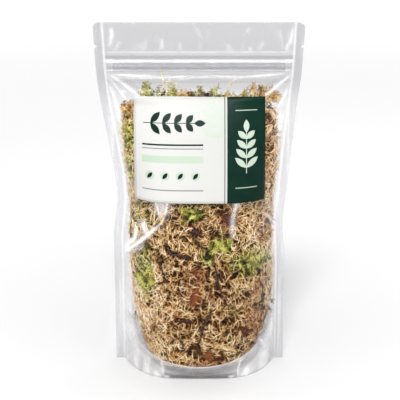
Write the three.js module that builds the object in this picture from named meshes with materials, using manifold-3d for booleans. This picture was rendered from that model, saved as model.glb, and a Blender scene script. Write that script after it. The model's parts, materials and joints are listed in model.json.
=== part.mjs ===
// A clump of live sphagnum moss packed in a clear stand-up zip pouch. Millimetres, +Z up.
// The origin is the middle of the base, on the surface that the pouch stands on. X runs across
// the pouch, and -Y is its front, where the label is.
//
// The pouch is three welded films (front, back and base gusset), a two-part press-to-close zip
// and a label. The moss inside is a tangled mass of straw-coloured stems with tufts of green
// shoots, dark twigs and red-brown leaf scraps bedded in it.
import * as THREE from "three";
import { mergeVertices } from "three/addons/utils/BufferGeometryUtils.js";
import Module from "manifold-3d";

const wasm = await Module();
wasm.setup();

// ---------------------------------------------------------------- driving dimensions
const POUCH_HEIGHT = 330;
const SEAL_WIDTH = 8.5; // welded band down each side
const FILM = 0.6; // modelled film thickness
const GAP = 0.3; // between sheets that touch
const GUSSET_HEIGHT = 50; // half of the folded base film
const GUSSET_HALF_WIDTH = 70;
const BASE_RISE = 11; // the base weld's height above the surface at mid width
const CORNER_RADIUS = 5;

const ZIP_BOTTOM = 285;
const ZIP_HEIGHT = 11;
const ZIP_HALF_DEPTH = 1.6; // film bulge that holds the closed zip
const NOTCH_Z = 308;
const NOTCH_DEPTH = 3;

const LABEL_BOTTOM = 169;
const LABEL_TOP = 264;
const LABEL_HALF_WIDTH = 60.5;
const LABEL_SHIFT = 0.5; // the label sits a little right of centre
const LABEL_THICKNESS = 0.6;

// Outlines as [height, size] pairs, joined smoothly by along().
const LEFT_EDGE = [[0, 82], [125, 82], [165, 78], [220, 85], [257, 91.7], [283, 95], [330, 97.5]];
const RIGHT_EDGE = [
  [0, 83], [100, 83], [139, 80.5], [180, 84.5], [220, 88], [257, 91.7], [283, 95], [330, 97.5],
];
const HALF_DEPTH = [
  [0, 50], [50, 49.5], [110, 46], [150, 41], [185, 38], [222, 31], [250, 21], [270, 9],
  [284, ZIP_HALF_DEPTH], [297, ZIP_HALF_DEPTH], [303, 0.5], [330, 0.5],
];
// Exponent of the bulge across X: 2 is a parabola, and more is fuller.
const FULLNESS = [[0, 4], [60, 3], [140, 3.2], [172, 3.8], [225, 3.6], [256, 3], [284, 40], [330, 40]];
const MOSS_LEFT = [
  [2, 26], [6, 38], [20, 52], [53, 62], [84, 66], [127, 68], [165, 66.5], [205, 71],
  [240, 73], [256, 66], [264, 52], [268, 30],
];
const MOSS_RIGHT = [
  [2, 26], [6, 38], [20, 55], [53, 69], [84, 72.5], [139, 71.5], [165, 71], [205, 75.5],
  [240, 76], [256, 70], [264, 56], [268, 30],
];

// ---------------------------------------------------------------- small helpers
// Smooth value at height z through [height, size] pairs: a monotone cubic, which never overshoots a pair.
function along(pairs, z) {
  const secant = (i) => {
    const [z0, a] = pairs[i];
    const [z1, b] = pairs[i + 1];
    return (b - a) / (z1 - z0);
  };
  const slope = (i) => {
    if (i === 0) return secant(0);
    if (i === pairs.length - 1) return secant(i - 1);
    const before = secant(i - 1);
    const after = secant(i);
    return before * after <= 0 ? 0 : (2 * before * after) / (before + after);
  };
  if (z <= pairs[0][0]) return pairs[0][1];
  const next = pairs.findIndex(([height]) => height >= z);
  if (next < 0) return pairs[pairs.length - 1][1];
  const [z0, a] = pairs[next - 1];
  const [z1, b] = pairs[next];
  const run = z1 - z0;
  const t = (z - z0) / run;
  const rise = t * t * (3 - 2 * t);
  return a + (b - a) * rise + run * t * (1 - t) * ((1 - t) * slope(next - 1) - t * slope(next));
}

// Repeatable random numbers from 0 to 1 (mulberry32).
function seeded(seed) {
  let a = seed;
  return () => {
    a = (a + 0x6d2b79f5) | 0;
    let t = Math.imul(a ^ (a >>> 15), 1 | a);
    t = (t + Math.imul(t ^ (t >>> 7), 61 | t)) ^ t;
    return ((t ^ (t >>> 14)) >>> 0) / 4294967296;
  };
}

const between = (random, low, high) => low + (high - low) * random();
const steps = (low, high, count) =>
  Array.from({ length: count + 1 }, (_, i) => low + ((high - low) * i) / count);

function geometryOf(points, triangles) {
  const geometry = new THREE.BufferGeometry();
  const numbers = points.flatMap((p) => [p.x, p.y, p.z]);
  geometry.setAttribute("position", new THREE.Float32BufferAttribute(numbers, 3));
  geometry.setIndex(triangles);
  return geometry;
}

function solidOf(geometry) {
  const bare = geometry.clone();
  bare.deleteAttribute("normal");
  bare.deleteAttribute("uv");
  const merged = mergeVertices(bare, 1e-4);
  return new wasm.Manifold(
    new wasm.Mesh({
      numProp: 3,
      vertProperties: new Float32Array(merged.attributes.position.array),
      triVerts: new Uint32Array(merged.index.array),
    }),
  );
}

function geometryFrom(solid) {
  const mesh = solid.getMesh();
  const geometry = new THREE.BufferGeometry();
  geometry.setAttribute("position", new THREE.BufferAttribute(new Float32Array(mesh.vertProperties), 3));
  geometry.setIndex(new THREE.BufferAttribute(new Uint32Array(mesh.triVerts), 1));
  return geometry;
}

// The biggest connected body of a solid: loose clippings are dropped.
function mainBody(solid) {
  return solid.decompose().reduce((best, body) => (body.volume() > best.volume() ? body : best));
}

// A closed sheet round a grid of points, rows[j][i], thickened along cross(i, j) to both sides and
// shifted along it by stand. level keeps the edges of the first and last rows in the plane of the row.
function sheet(rows, thickness, level = true, stand = 0) {
  const height = rows.length;
  const width = rows[0].length;
  const at = (i, j) => rows[Math.min(Math.max(j, 0), height - 1)][Math.min(Math.max(i, 0), width - 1)];
  const faces = [[], []];
  for (let j = 0; j < height; j++) {
    for (let i = 0; i < width; i++) {
      const across = at(i + 1, j).clone().sub(at(i - 1, j)).normalize();
      const up = at(i, j + 1).clone().sub(at(i, j - 1)).normalize();
      const normal = across.cross(up);
      if (level && (j === 0 || j === height - 1)) normal.z = 0;
      normal.normalize();
      faces[0].push(at(i, j).clone().addScaledVector(normal, stand + thickness / 2));
      faces[1].push(at(i, j).clone().addScaledVector(normal, stand - thickness / 2));
    }
  }
  const triangles = [];
  const back = width * height;
  const cell = (a, b, c, d) => triangles.push(a, b, c, a, c, d);
  for (let j = 0; j + 1 < height; j++) {
    for (let i = 0; i + 1 < width; i++) {
      const a = j * width + i;
      const b = a + width;
      // Both faces are split along the same diagonal, which leans the other way past the middle.
      if (2 * i < width - 1) {
        cell(a, a + 1, b + 1, b);
        cell(back + a, back + b, back + b + 1, back + a + 1);
      } else {
        cell(a + 1, b + 1, b, a);
        cell(back + a + 1, back + a, back + b, back + b + 1);
      }
    }
  }
  const rim = [];
  for (let i = 0; i < width - 1; i++) rim.push(i);
  for (let j = 0; j < height - 1; j++) rim.push(j * width + width - 1);
  for (let i = width - 1; i > 0; i--) rim.push((height - 1) * width + i);
  for (let j = height - 1; j > 0; j--) rim.push(j * width);
  rim.forEach((a, k) => {
    const b = rim[(k + 1) % rim.length];
    cell(b, a, back + a, back + b);
  });
  return geometryOf([...faces[0], ...faces[1]], triangles);
}

// A closed tube of a few sides through path points, with one radius for each point.
function tube(path, radii, sides, turn = 0) {
  const points = [];
  const triangles = [];
  path.forEach((p, k) => {
    const ahead = path[Math.min(k + 1, path.length - 1)].clone().sub(path[Math.max(k - 1, 0)]).normalize();
    const side = new THREE.Vector3(0, 0, 1).cross(ahead);
    if (side.length() < 0.2) side.set(1, 0, 0).cross(ahead);
    side.normalize();
    const up = ahead.clone().cross(side);
    for (let s = 0; s < sides; s++) {
      const angle = turn + (2 * Math.PI * s) / sides;
      const spot = p.clone().addScaledVector(side, radii[k] * Math.cos(angle));
      points.push(spot.addScaledVector(up, radii[k] * Math.sin(angle)));
    }
  });
  for (let k = 0; k + 1 < path.length; k++) {
    for (let s = 0; s < sides; s++) {
      const a = k * sides + s;
      const b = k * sides + ((s + 1) % sides);
      triangles.push(a, b, b + sides, a, b + sides, a + sides);
    }
  }
  const last = (path.length - 1) * sides;
  for (let s = 1; s + 1 < sides; s++) {
    triangles.push(0, s + 1, s);
    triangles.push(last, last + s, last + s + 1);
  }
  return geometryOf(points, triangles);
}

// ---------------------------------------------------------------- the pouch's shape
const edgeX = (z, side) => (side < 0 ? -along(LEFT_EDGE, z) : along(RIGHT_EDGE, z));

// How far the film stands from the middle plane at x, z: 0 on the side welds.
function bulge(x, z) {
  const inner = Math.abs(edgeX(z, x)) - SEAL_WIDTH;
  const u = Math.min(Math.abs(x) / inner, 1);
  return along(HALF_DEPTH, z) * (1 - Math.pow(u, along(FULLNESS, z)));
}

// A point of the film's middle surface: front for side -1, back for side 1.
function filmPoint(x, z, side) {
  return new THREE.Vector3(x, side * (GAP / 2 + FILM / 2 + bulge(x, z)), z);
}

// The film's outward direction at x, z.
function filmNormal(x, z, side) {
  const d = 0.5;
  const across = filmPoint(x + d, z, side).sub(filmPoint(x - d, z, side));
  const up = filmPoint(x, z + d, side).sub(filmPoint(x, z - d, side));
  const normal = across.cross(up).normalize();
  return side < 0 ? normal : normal.negate();
}

const FILM_ROWS = [
  0, 12, 30, 55, 85, 115, 140, 160, 180, 203, 225, 243, 257, 268, 277, 284, 297, 303, 326, 328.8, 330,
];
const FILM_INNER_COLUMNS = 14;

// Half the corner rounding's inset at height z, for the top corners.
function cornerInset(z) {
  const down = Math.max(z - (POUCH_HEIGHT - CORNER_RADIUS), 0);
  return CORNER_RADIUS - Math.sqrt(CORNER_RADIUS ** 2 - down ** 2);
}

// A panel of the pouch, or a sheet that lies on it, with its middle stand outside the film's middle.
function filmPanel(side, thickness, stand) {
  const rows = FILM_ROWS.map((z) => {
    const left = edgeX(z, -1);
    const right = edgeX(z, 1);
    const inset = cornerInset(z);
    const inner = steps(-1, 1, FILM_INNER_COLUMNS).map((t) => {
      const u = Math.sin((t * Math.PI) / 2); // closer together towards the welds
      return (left + right) / 2 + u * ((right - left) / 2 - SEAL_WIDTH);
    });
    const xs = [left + inset, ...inner, right - inset];
    return (side < 0 ? xs : xs.reverse()).map((x) => filmPoint(x, z, side));
  });
  return sheet(rows, thickness, true, stand);
}

// A wedge that cuts a tear notch into one side weld. It is as wide at the edge as the notch is deep.
function notchCutter(side) {
  const edge = edgeX(NOTCH_Z, side);
  const [past, depth] = [4, 8]; // how far it reaches outside the edge, and its length through the films
  const half = (NOTCH_DEPTH / 2) * (1 + past / NOTCH_DEPTH);
  const shape = new THREE.Shape([
    new THREE.Vector2(edge + side * past, NOTCH_Z - half),
    new THREE.Vector2(edge + side * past, NOTCH_Z + half),
    new THREE.Vector2(edge - side * NOTCH_DEPTH, NOTCH_Z),
  ]);
  const cutter = new THREE.ExtrudeGeometry(shape, { depth, bevelEnabled: false });
  cutter.rotateX(Math.PI / 2);
  cutter.translate(0, depth / 2, 0);
  return solidOf(cutter);
}

function notchedPanel(side) {
  return geometryFrom(solidOf(filmPanel(side, FILM, 0)).subtract(notchCutter(-1)).subtract(notchCutter(1)));
}

// Height of the base weld at x: low in the middle and up to the gusset's height at the sides.
function weldHeight(x) {
  const u = Math.min(Math.abs(x) / GUSSET_HALF_WIDTH, 1);
  return BASE_RISE + (GUSSET_HEIGHT - BASE_RISE) * (1 - Math.sqrt(1 - u ** 1.7));
}

// The base gusset: up inside the front panel, across under the moss, and down inside the back panel.
const LIP_STEPS = 2;
const FLOOR_STEPS = 8;
const GUSSET_COLUMNS = 18;
const FLOOR_SAG = 15.5;
const LIP_INWARD = FILM + GAP + 0.6; // clear of the flat facets of the panel too

function lipPoint(x, z, side) {
  return filmPoint(x, z, side).addScaledVector(filmNormal(x, z, side), -LIP_INWARD);
}

// The middle surface of the gusset's floor at x, from the front weld to the back weld.
function floorPoints(x) {
  const start = lipPoint(x, weldHeight(x), -1);
  const end = lipPoint(x, weldHeight(x), 1);
  return steps(0, 1, FLOOR_STEPS).map((t) => {
    const p = start.clone().lerp(end, t);
    p.z = Math.max(FILM / 2, p.z - FLOOR_SAG * (1 - (2 * t - 1) ** 4));
    return p;
  });
}

// Columns stand closer together towards the gusset's ends, where it curves up.
const gussetColumns = steps(-1, 1, GUSSET_COLUMNS).map(
  (t) => GUSSET_HALF_WIDTH * Math.sin((t * Math.PI) / 2),
);

function gussetFilm() {
  const columns = gussetColumns.map((x) => {
    const heights = steps(GAP, weldHeight(x), LIP_STEPS).slice(0, -1);
    const front = heights.map((z) => lipPoint(x, z, -1));
    const back = heights.map((z) => lipPoint(x, z, 1)).reverse();
    return [...front, ...floorPoints(x), ...back];
  });
  const rows = columns[0].map((_, j) => columns.map((column) => column[j]));
  return sheet(rows, FILM, false);
}

// ---------------------------------------------------------------- the zip
const ZIP_LENGTH = 160;
const ZIP_STRIP = 0.5; // thickness of a track's strip
const RIB = 0.8; // the front track's ribs
const RIB_HEIGHTS = [ZIP_BOTTOM + 3.2, ZIP_BOTTOM + 7.8];
const LIP = 0.6; // the back track's lips, a pair to each rib
const RIB_REACH = 0.35; // how far ribs and lips pass the middle plane

// Height ranges of the ribs, or of the lips that take them.
function zipTeeth(side) {
  const ribs = RIB_HEIGHTS.map((z) => [z - RIB / 2, z + RIB / 2]);
  if (side < 0) return ribs;
  return ribs.flatMap(([low, high]) => [[low - GAP - LIP, low - GAP], [high + GAP, high + GAP + LIP]]);
}

// One track of the zip: a flat strip with ribs, or with the lips that take the ribs, extruded along X.
function zipTrack(side) {
  const outer = ZIP_HALF_DEPTH - GAP / 2; // the film's inner face, less the gap
  const strip = outer - ZIP_STRIP;
  const outline = [[-outer, ZIP_BOTTOM], [-strip, ZIP_BOTTOM]];
  for (const [low, high] of zipTeeth(side)) {
    outline.push([-strip, low], [RIB_REACH, low], [RIB_REACH, high], [-strip, high]);
  }
  outline.push([-strip, ZIP_BOTTOM + ZIP_HEIGHT], [-outer, ZIP_BOTTOM + ZIP_HEIGHT]);
  const shape = new THREE.Shape(outline.map(([y, z]) => new THREE.Vector2(y, z)));
  const track = new THREE.ExtrudeGeometry(shape, { depth: ZIP_LENGTH, bevelEnabled: false });
  // The section lies in X and Y with its length along Z: turn it to Y and Z with its length along X.
  const [x, y, z] = [[1, 0, 0], [0, 1, 0], [0, 0, 1]].map((axis) => new THREE.Vector3(...axis));
  track.applyMatrix4(new THREE.Matrix4().makeBasis(y, z, x));
  track.translate(-ZIP_LENGTH / 2, 0, 0);
  if (side > 0) track.rotateZ(Math.PI);
  return track;
}

// ---------------------------------------------------------------- the label
function labelSheet() {
  const cover = solidOf(filmPanel(-1, LABEL_THICKNESS, FILM / 2 + GAP + LABEL_THICKNESS / 2));
  const reach = 120; // from the middle plane out past the front
  const outline = new THREE.BoxGeometry(2 * LABEL_HALF_WIDTH, reach, LABEL_TOP - LABEL_BOTTOM);
  outline.translate(LABEL_SHIFT, -reach / 2, (LABEL_BOTTOM + LABEL_TOP) / 2);
  return geometryFrom(cover.intersect(solidOf(outline)));
}

// ---------------------------------------------------------------- the moss
const MOSS_TOP = 268;
const MOSS_BOTTOM = 2;
const FILM_CLEAR = 1.25; // from the film's middle surface to the moss
const CROWN_TOP = 274; // the moss thins towards this height
const CROWN_HEIGHT = 14;
const MOSS_BOXINESS = 0.4; // section of the moss: 0 is a box, 1 is a lens
const LEAST_DEPTH = 1.2;
const CORE_INSET = 6; // the packed core lies this far inside the outermost stems
const CORE_AROUND = 52;
const CORE_ROWS = 33;
const TIP_INSETS = [1.8, 4.2]; // where the packed branch tips end, from the moss's outside
const TIP_LEAN = 0.55; // how far a tip leans towards its neighbours, as a share of their distance

// A point of the moss at an angle round it (0 is +X, 90 degrees is the back), a height, and an inset
// from its outside.
function mossPoint(angle, z, inset) {
  const reach = (Math.cos(angle) < 0 ? along(MOSS_LEFT, z) : along(MOSS_RIGHT, z)) - inset;
  const x = reach * Math.cos(angle);
  const sine = Math.sin(angle);
  const depth = Math.max(bulge(x, z) - FILM_CLEAR - inset, LEAST_DEPTH);
  const crown = Math.min(1, (CROWN_TOP - z) / CROWN_HEIGHT);
  return new THREE.Vector3(x, Math.sign(sine) * Math.abs(sine) ** MOSS_BOXINESS * depth * crown, z);
}

// A closed solid of stacked rings, with a fan at each end. Each cell is split along one diagonal, or
// along the other where isTurned says so.
function ringSolid(around, heights, pointAt, isTurned = () => false) {
  const points = [];
  const triangles = [];
  heights.forEach((z, j) => {
    for (let k = 0; k < around; k++) points.push(pointAt((2 * Math.PI * k) / around, z, k, j));
  });
  for (let j = 0; j + 1 < heights.length; j++) {
    for (let k = 0; k < around; k++) {
      const a = j * around + k;
      const b = j * around + ((k + 1) % around);
      if (isTurned(k, j)) triangles.push(a, b, a + around, b, b + around, a + around);
      else triangles.push(a, b, b + around, a, b + around, a + around);
    }
  }
  const top = (heights.length - 1) * around;
  const low = points.push(new THREE.Vector3(0, 0, heights[0])) - 1;
  const high = points.push(new THREE.Vector3(0, 0, heights[heights.length - 1])) - 1;
  for (let k = 0; k < around; k++) {
    const next = (k + 1) % around;
    triangles.push(low, next, k);
    triangles.push(high, top + k, top + next);
  }
  return geometryOf(points, triangles);
}

// The space that the moss may fill inside the front and back films, with a clearance.
const SPACE_AROUND = 48;
const SPACE_ROWS = [0, 3, 8, 15, 25, 40, 55, 75, 100, 125, 150, 175, 200, 220, 240, 255, 268, 278, 283];
const WELD_CLEAR = 1.5;
function mossSpace() {
  return ringSolid(SPACE_AROUND, SPACE_ROWS, (angle, z) => {
    const x = (Math.abs(edgeX(z, Math.cos(angle))) - SEAL_WIDTH - WELD_CLEAR) * Math.cos(angle);
    const sine = Math.sin(angle);
    const depth = Math.abs(sine) < 1e-6 ? 0 : Math.max(bulge(x, z) - FILM_CLEAR, 0.1);
    return new THREE.Vector3(x, Math.sign(sine) * depth, z);
  });
}

// What lies under the top of the gusset film, with a clearance, as a cutter for the moss.
function underGusset() {
  const outside = 90; // past the films on every side
  const below = -20;
  const ends = [-outside, ...gussetColumns, outside];
  const columns = ends.map((x) => {
    const share = THREE.MathUtils.clamp(x / GUSSET_HALF_WIDTH, -1, 1);
    const floor = floorPoints(share * GUSSET_HALF_WIDTH);
    const clear = FILM / 2 + (4 + 2 * share ** 4) * GAP; // straight up, and more over its steep ends
    const rim = floor[0].z + clear;
    const top = [[-outside, rim], ...floor.map((p) => [p.y, p.z + clear]), [outside, rim]];
    return [[-outside, below], ...top, [outside, below]].map(([y, z]) => new THREE.Vector3(x, y, z));
  });
  const size = columns[0].length;
  const triangles = [];
  for (let i = 0; i + 1 < columns.length; i++) {
    for (let k = 0; k < size; k++) {
      const a = i * size + k;
      const b = i * size + ((k + 1) % size);
      triangles.push(a, b + size, b, a, a + size, b + size);
    }
  }
  const last = (columns.length - 1) * size;
  for (let k = 1; k + 1 < size; k++) {
    triangles.push(0, k, k + 1, last, last + k + 1, last + k);
  }
  return geometryOf(columns.flat(), triangles);
}

// Angles that stand evenly spaced along the outline of the moss at a height.
const OUTLINE_SAMPLES = 720;
function evenAngles(z, count) {
  // Samples stand closest at the moss's two edges, where a small turn is a long way.
  const angles = steps(0, 2 * Math.PI, OUTLINE_SAMPLES).map((t) => t - Math.sin(2 * t) / 2);
  const points = angles.map((angle) => mossPoint(angle, z, CORE_INSET));
  const travelled = [0];
  for (let i = 1; i < points.length; i++) {
    travelled.push(travelled[i - 1] + points[i].distanceTo(points[i - 1]));
  }
  const length = travelled[travelled.length - 1];
  return steps(0, length, count).map((distance) => angles[travelled.findIndex((t) => t > distance - 1e-6)]);
}

// The packed core. Every second point of its surface stands out as the leaning tip of a bundle of
// stems, and tips are joined in ridges that rise to the left in some patches and to the right in others.
function mossCore() {
  const random = seeded(5);
  const rows = steps(MOSS_BOTTOM, MOSS_TOP, CORE_ROWS);
  const rise = rows[1] - rows[0];
  const angles = rows.map((z) => evenAngles(z, CORE_AROUND));
  const pointAt = (_, z, k, j) => {
    const isTip = (k + j) % 2 === 0 && j > 0 && j < CORE_ROWS;
    if (!isTip) return mossPoint(angles[j][k], z, CORE_INSET + between(random, 0, 1.5));
    const leanRound = between(random, 0, TIP_LEAN) * (angles[j][k + 1] - angles[j][k]);
    const leanUp = between(random, -TIP_LEAN, TIP_LEAN) * rise;
    return mossPoint(angles[j][k] + leanRound, z + leanUp, between(random, ...TIP_INSETS));
  };
  const isTurned = (k, j) => Math.sin(k * 0.8 + j * 0.35) + Math.sin(j * 0.6 - k * 0.45) > 0.1;
  return solidOf(ringSolid(CORE_AROUND, rows, pointAt, isTurned));
}

// A path that wanders over the moss from an angle and height, with one point for each inset.
const GIRTH_STEP = 0.05; // an angle small enough to measure the local distance round the moss
const LEAST_GIRTH = 12;
function wander({ angle, z, heading, length, curl, insets }) {
  const count = insets.length - 1;
  const path = [];
  let a = angle;
  let h = z;
  let way = heading;
  for (let k = 0; k <= count; k++) {
    path.push(mossPoint(a, h, insets[k]));
    const girth = path[k].distanceTo(mossPoint(a + GIRTH_STEP, h, insets[k])) / GIRTH_STEP;
    a += ((length / count) * Math.cos(way)) / Math.max(girth, LEAST_GIRTH);
    h = THREE.MathUtils.clamp(h + (length / count) * Math.sin(way), MOSS_BOTTOM + 4, MOSS_TOP - 3);
    way += curl / count;
  }
  return path;
}

// Stems that rise out of the packed core, run over it and dive back into it, spaced so that none
// crosses another.
const STEM_COUNT = 54;
const STEM_TRIES = 6000;
const STEM_SPACING = 6;
function looseStems() {
  const random = seeded(11);
  const taken = [];
  const stems = [];
  for (let k = 0; k < STEM_TRIES && stems.length < STEM_COUNT; k++) {
    const high = between(random, 1.3, 1.9);
    const radius = between(random, 1.2, 1.6);
    const path = wander({
      angle: between(random, 0, 2 * Math.PI),
      z: between(random, 12, MOSS_TOP - 5),
      heading: between(random, 0, 2 * Math.PI),
      length: between(random, 26, 50),
      curl: between(random, -2.4, 2.4),
      insets: [CORE_INSET + 3, high, high, CORE_INSET + 3],
    });
    const isNear = (q) => path.some((p) => p.distanceTo(q) < STEM_SPACING);
    if (taken.some(isNear)) continue;
    taken.push(...new THREE.CatmullRomCurve3(path).getPoints(12));
    stems.push(solidOf(tube(path, [0.8 * radius, radius, radius, 0.8 * radius], 3, between(random, 0, 2))));
  }
  return stems;
}

// Single stems that stand up from the top of the moss: x and height of the root, lean in X and rise.
const STRAYS = [
  [-52, 256, 4, 15], [-32, 258, 3, 22], [-9, 260, -5, 13], [28, 259, -4, 16], [48, 256, 5, 16],
];
const STRAY_RADIUS = 1.3;
function strayStems() {
  return STRAYS.map(([x, z, lean, rise]) => {
    const path = [
      new THREE.Vector3(x, 0, z),
      new THREE.Vector3(x + 0.2 * lean, 0, z + 0.6 * rise),
      new THREE.Vector3(x + lean, 0, z + rise),
    ];
    return solidOf(tube(path, [STRAY_RADIUS, 0.8 * STRAY_RADIUS, 0.3], 3));
  });
}

// Where things are bedded in the moss: x, height, size, and front -1 or back 1.
const GREEN_TUFTS = [
  [-6, 158, 15, -1], [20, 128, 15, -1], [47, 108, 18, -1], [-50, 92, 16, -1], [-64, 228, 14, -1],
  [-44, 252, 13, -1], [38, 150, 17, 1], [-34, 86, 18, 1], [30, 232, 15, 1],
];
// x and height of three points, radius, and front -1 or back 1
const TWIGS = [
  [[-31, 123], [-18, 119], [-6, 117], 1.4, -1],
  [[-37, 110], [-34, 101], [-30, 93], 1.1, -1],
  [[15, 109], [19, 90], [25, 70], 1.3, -1],
  [[12, 66], [4, 50], [-1, 32], 1.5, -1],
  [[58, 88], [62, 72], [60, 56], 1.1, -1],
  [[-20, 200], [-6, 188], [6, 172], 1.4, 1],
  [[10, 96], [26, 84], [34, 64], 1.3, 1],
];
// x, height, length, width, turn in degrees, and front -1 or back 1
const SCRAPS = [
  [-2, 141, 13, 9, 80, -1], [27, 152, 15, 8, 60, -1], [-4, 79, 20, 9, -25, -1],
  [-15, 56, 20, 6, 80, -1], [46, 40, 15, 8, 50, -1], [10, 21, 15, 8, 10, -1],
  [-24, 134, 16, 9, 30, 1], [28, 190, 15, 8, -40, 1], [-8, 52, 17, 8, 15, 1],
];
const LIE_DEPTH = 2.5; // twigs and scraps lie this far inside the outermost stems
const BED_CLEAR = 0.4; // the gap that their beds leave round them

// A point of the moss at x and a height, on the front or the back, at a depth inside its outside.
function bed(x, z, side, depth) {
  const reach = x < 0 ? along(MOSS_LEFT, z) : along(MOSS_RIGHT, z);
  const angle = Math.acos(THREE.MathUtils.clamp(x / (reach - depth), -0.98, 0.98));
  return mossPoint(side < 0 ? -angle : angle, z, depth);
}

// A closed solid of rings round an axis, from its lowest point to its highest. Every ring is a pair:
// [radius, height] of its even points and of its odd points.
const HEAD_POINTS = 8; // branches in a whorl
function rosette({ root, out, right, up }, bottom, rings, top) {
  const around = 2 * HEAD_POINTS;
  const points = [root.clone().addScaledVector(out, bottom)];
  for (const ring of rings) {
    for (let k = 0; k < around; k++) {
      const [radius, height] = ring[k % 2];
      const angle = (2 * Math.PI * k) / around;
      const spot = root.clone().addScaledVector(out, height);
      spot.addScaledVector(right, radius * Math.cos(angle));
      points.push(spot.addScaledVector(up, radius * Math.sin(angle)));
    }
  }
  points.push(root.clone().addScaledVector(out, top));
  const triangles = [];
  const last = points.length - 1;
  for (let k = 0; k < around; k++) {
    const next = (k + 1) % around;
    triangles.push(0, 1 + next, 1 + k);
    for (let j = 0; j + 1 < rings.length; j++) {
      const [a, b] = [1 + j * around + k, 1 + j * around + next];
      if (k % 2) triangles.push(a, b, a + around, b, b + around, a + around);
      else triangles.push(a, b, b + around, a, b + around, a + around);
    }
    triangles.push(last, last - around + k, last - around + next);
  }
  return solidOf(geometryOf(points, triangles));
}

// A green head, sunk in its pocket in the moss: three whorls of pointed branches, each smaller and
// higher than the last, with the tips of one between those of the next.
const HEAD_DEPTH = 6; // below its root, into the moss
const HEAD_TOP = 4.6;
const HEAD_MOUTH = 9; // its pocket is open this far out
function greenTuft([x, z, size, side]) {
  const root = bed(x, z, side, CORE_INSET + 0.5);
  const out = bed(x, z, side, 1).sub(root).normalize();
  const right = new THREE.Vector3(0, 0, 1).cross(out).normalize();
  const frame = { root, out, right, up: out.clone().cross(right) };
  const even = (radius, height) => [[radius, height], [radius, height]];
  const star = (grow, height) => [[size + grow, height], [0.5 * size + grow, height - 1.2]];
  const low = -0.7 * HEAD_DEPTH;
  const bowl = (grow) => [even(0.4 * size + grow, low - grow), even(0.5 * size + grow, -grow)];
  const whorls = [
    star(0, 2.2),
    [[0.36 * size, 3.2], [0.74 * size, 4.2]],
    [[0.46 * size, 5.4], [0.16 * size, 3.6]],
  ];
  const wide = (height) => [[size + BED_CLEAR, height], [0.86 * size + BED_CLEAR, height]];
  const mouth = [star(2 * BED_CLEAR, 1), wide(3), wide(HEAD_MOUTH)];
  return {
    solid: rosette(frame, -HEAD_DEPTH, [...bowl(0), ...whorls], HEAD_TOP),
    clear: rosette(frame, -HEAD_DEPTH - BED_CLEAR, [...bowl(BED_CLEAR), ...mouth], HEAD_MOUTH),
  };
}

// A twig through three points of the moss, and a wider copy that clears its bed.
const TWIG_STEPS = 4;
const TWIG_SIDES = 5;
const TWIG_TAPER = 0.1; // share of the radius lost at each step
function twig([a, b, c, radius, side], index) {
  const random = seeded(300 + index);
  const curve = new THREE.CatmullRomCurve3([a, b, c].map(([x, z]) => bed(x, z, side, LIE_DEPTH)));
  const knot = () => new THREE.Vector3(between(random, -0.6, 0.6), 0, between(random, -0.6, 0.6));
  const path = curve.getPoints(TWIG_STEPS).map((p) => p.add(knot()));
  const radii = path.map((_, i) => radius * (1 - TWIG_TAPER * i));
  const longer = path.map((p, i) => {
    const inward = path[i === 0 ? 1 : TWIG_STEPS - 1];
    const isEnd = i === 0 || i === TWIG_STEPS;
    return isEnd ? p.clone().add(p.clone().sub(inward).setLength(BED_CLEAR)) : p;
  });
  const wider = radii.map((r) => r + BED_CLEAR);
  return { solid: solidOf(tube(path, radii, TWIG_SIDES)), clear: solidOf(tube(longer, wider, TWIG_SIDES)) };
}

// A curled leaf or bark scrap: a pointed oval plate laid on the moss, and a wider copy that clears it.
const SCRAP_THICKNESS = 1.3;
const SCRAP_CURL = 0.8;
const SCRAP_SINK = 0.5;
const SCRAP_NARROWING = 0.8;
function scrap([x, z, length, width, turn, side]) {
  const angle = THREE.MathUtils.degToRad(turn);
  const plate = (grow) => {
    const rows = steps(-1, 1, 4).map((v) => {
      const breadth = 1 - SCRAP_NARROWING * Math.abs(v) ** 2.2;
      const half = (width / 2) * breadth + grow;
      return steps(-1, 1, 2).map((u) => {
        const onward = v * (length / 2 + grow);
        const across = u * half;
        const dx = across * Math.cos(angle) - onward * Math.sin(angle);
        const dz = across * Math.sin(angle) + onward * Math.cos(angle);
        const p = bed(x + dx, z + dz, side, LIE_DEPTH);
        p.y += side * (SCRAP_CURL * breadth * u * u - SCRAP_SINK);
        return p;
      });
    });
    const outward = side < 0 ? rows : rows.map((row) => row.slice().reverse());
    return solidOf(sheet(outward, SCRAP_THICKNESS + 2 * grow, false));
  };
  return { solid: plate(0), clear: plate(BED_CLEAR) };
}

// Builds every piece of the moss, each cut clear of the ones bedded in it and of the pouch.
function mossPieces() {
  const space = solidOf(mossSpace()).subtract(solidOf(underGusset()));
  const tufts = GREEN_TUFTS.map(greenTuft);
  const twigs = TWIGS.map(twig);
  const scraps = SCRAPS.map(scrap);
  const laid = wasm.Manifold.union([...twigs, ...scraps].map((piece) => piece.clear));
  const beds = wasm.Manifold.union([laid, ...tufts.map((tuft) => tuft.clear)]);
  const tangle = wasm.Manifold.union([mossCore(), ...looseStems(), ...strayStems()]);
  const mass = tangle.intersect(space).subtract(beds);
  const heads = tufts.map((tuft) => mainBody(tuft.solid.intersect(space).subtract(laid)));
  const named = (word, solids, material) => solids.map((solid, i) => [`${word}_${i + 1}`, solid, material]);
  return [
    ["moss_mass", mainBody(mass), "straw"],
    ...named("green_tuft", heads, "green"),
    ...named("twig", twigs.map((piece) => piece.solid), "twig"),
    ...named("leaf_scrap", scraps.map((piece) => piece.solid), "scrap"),
  ];
}

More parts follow.
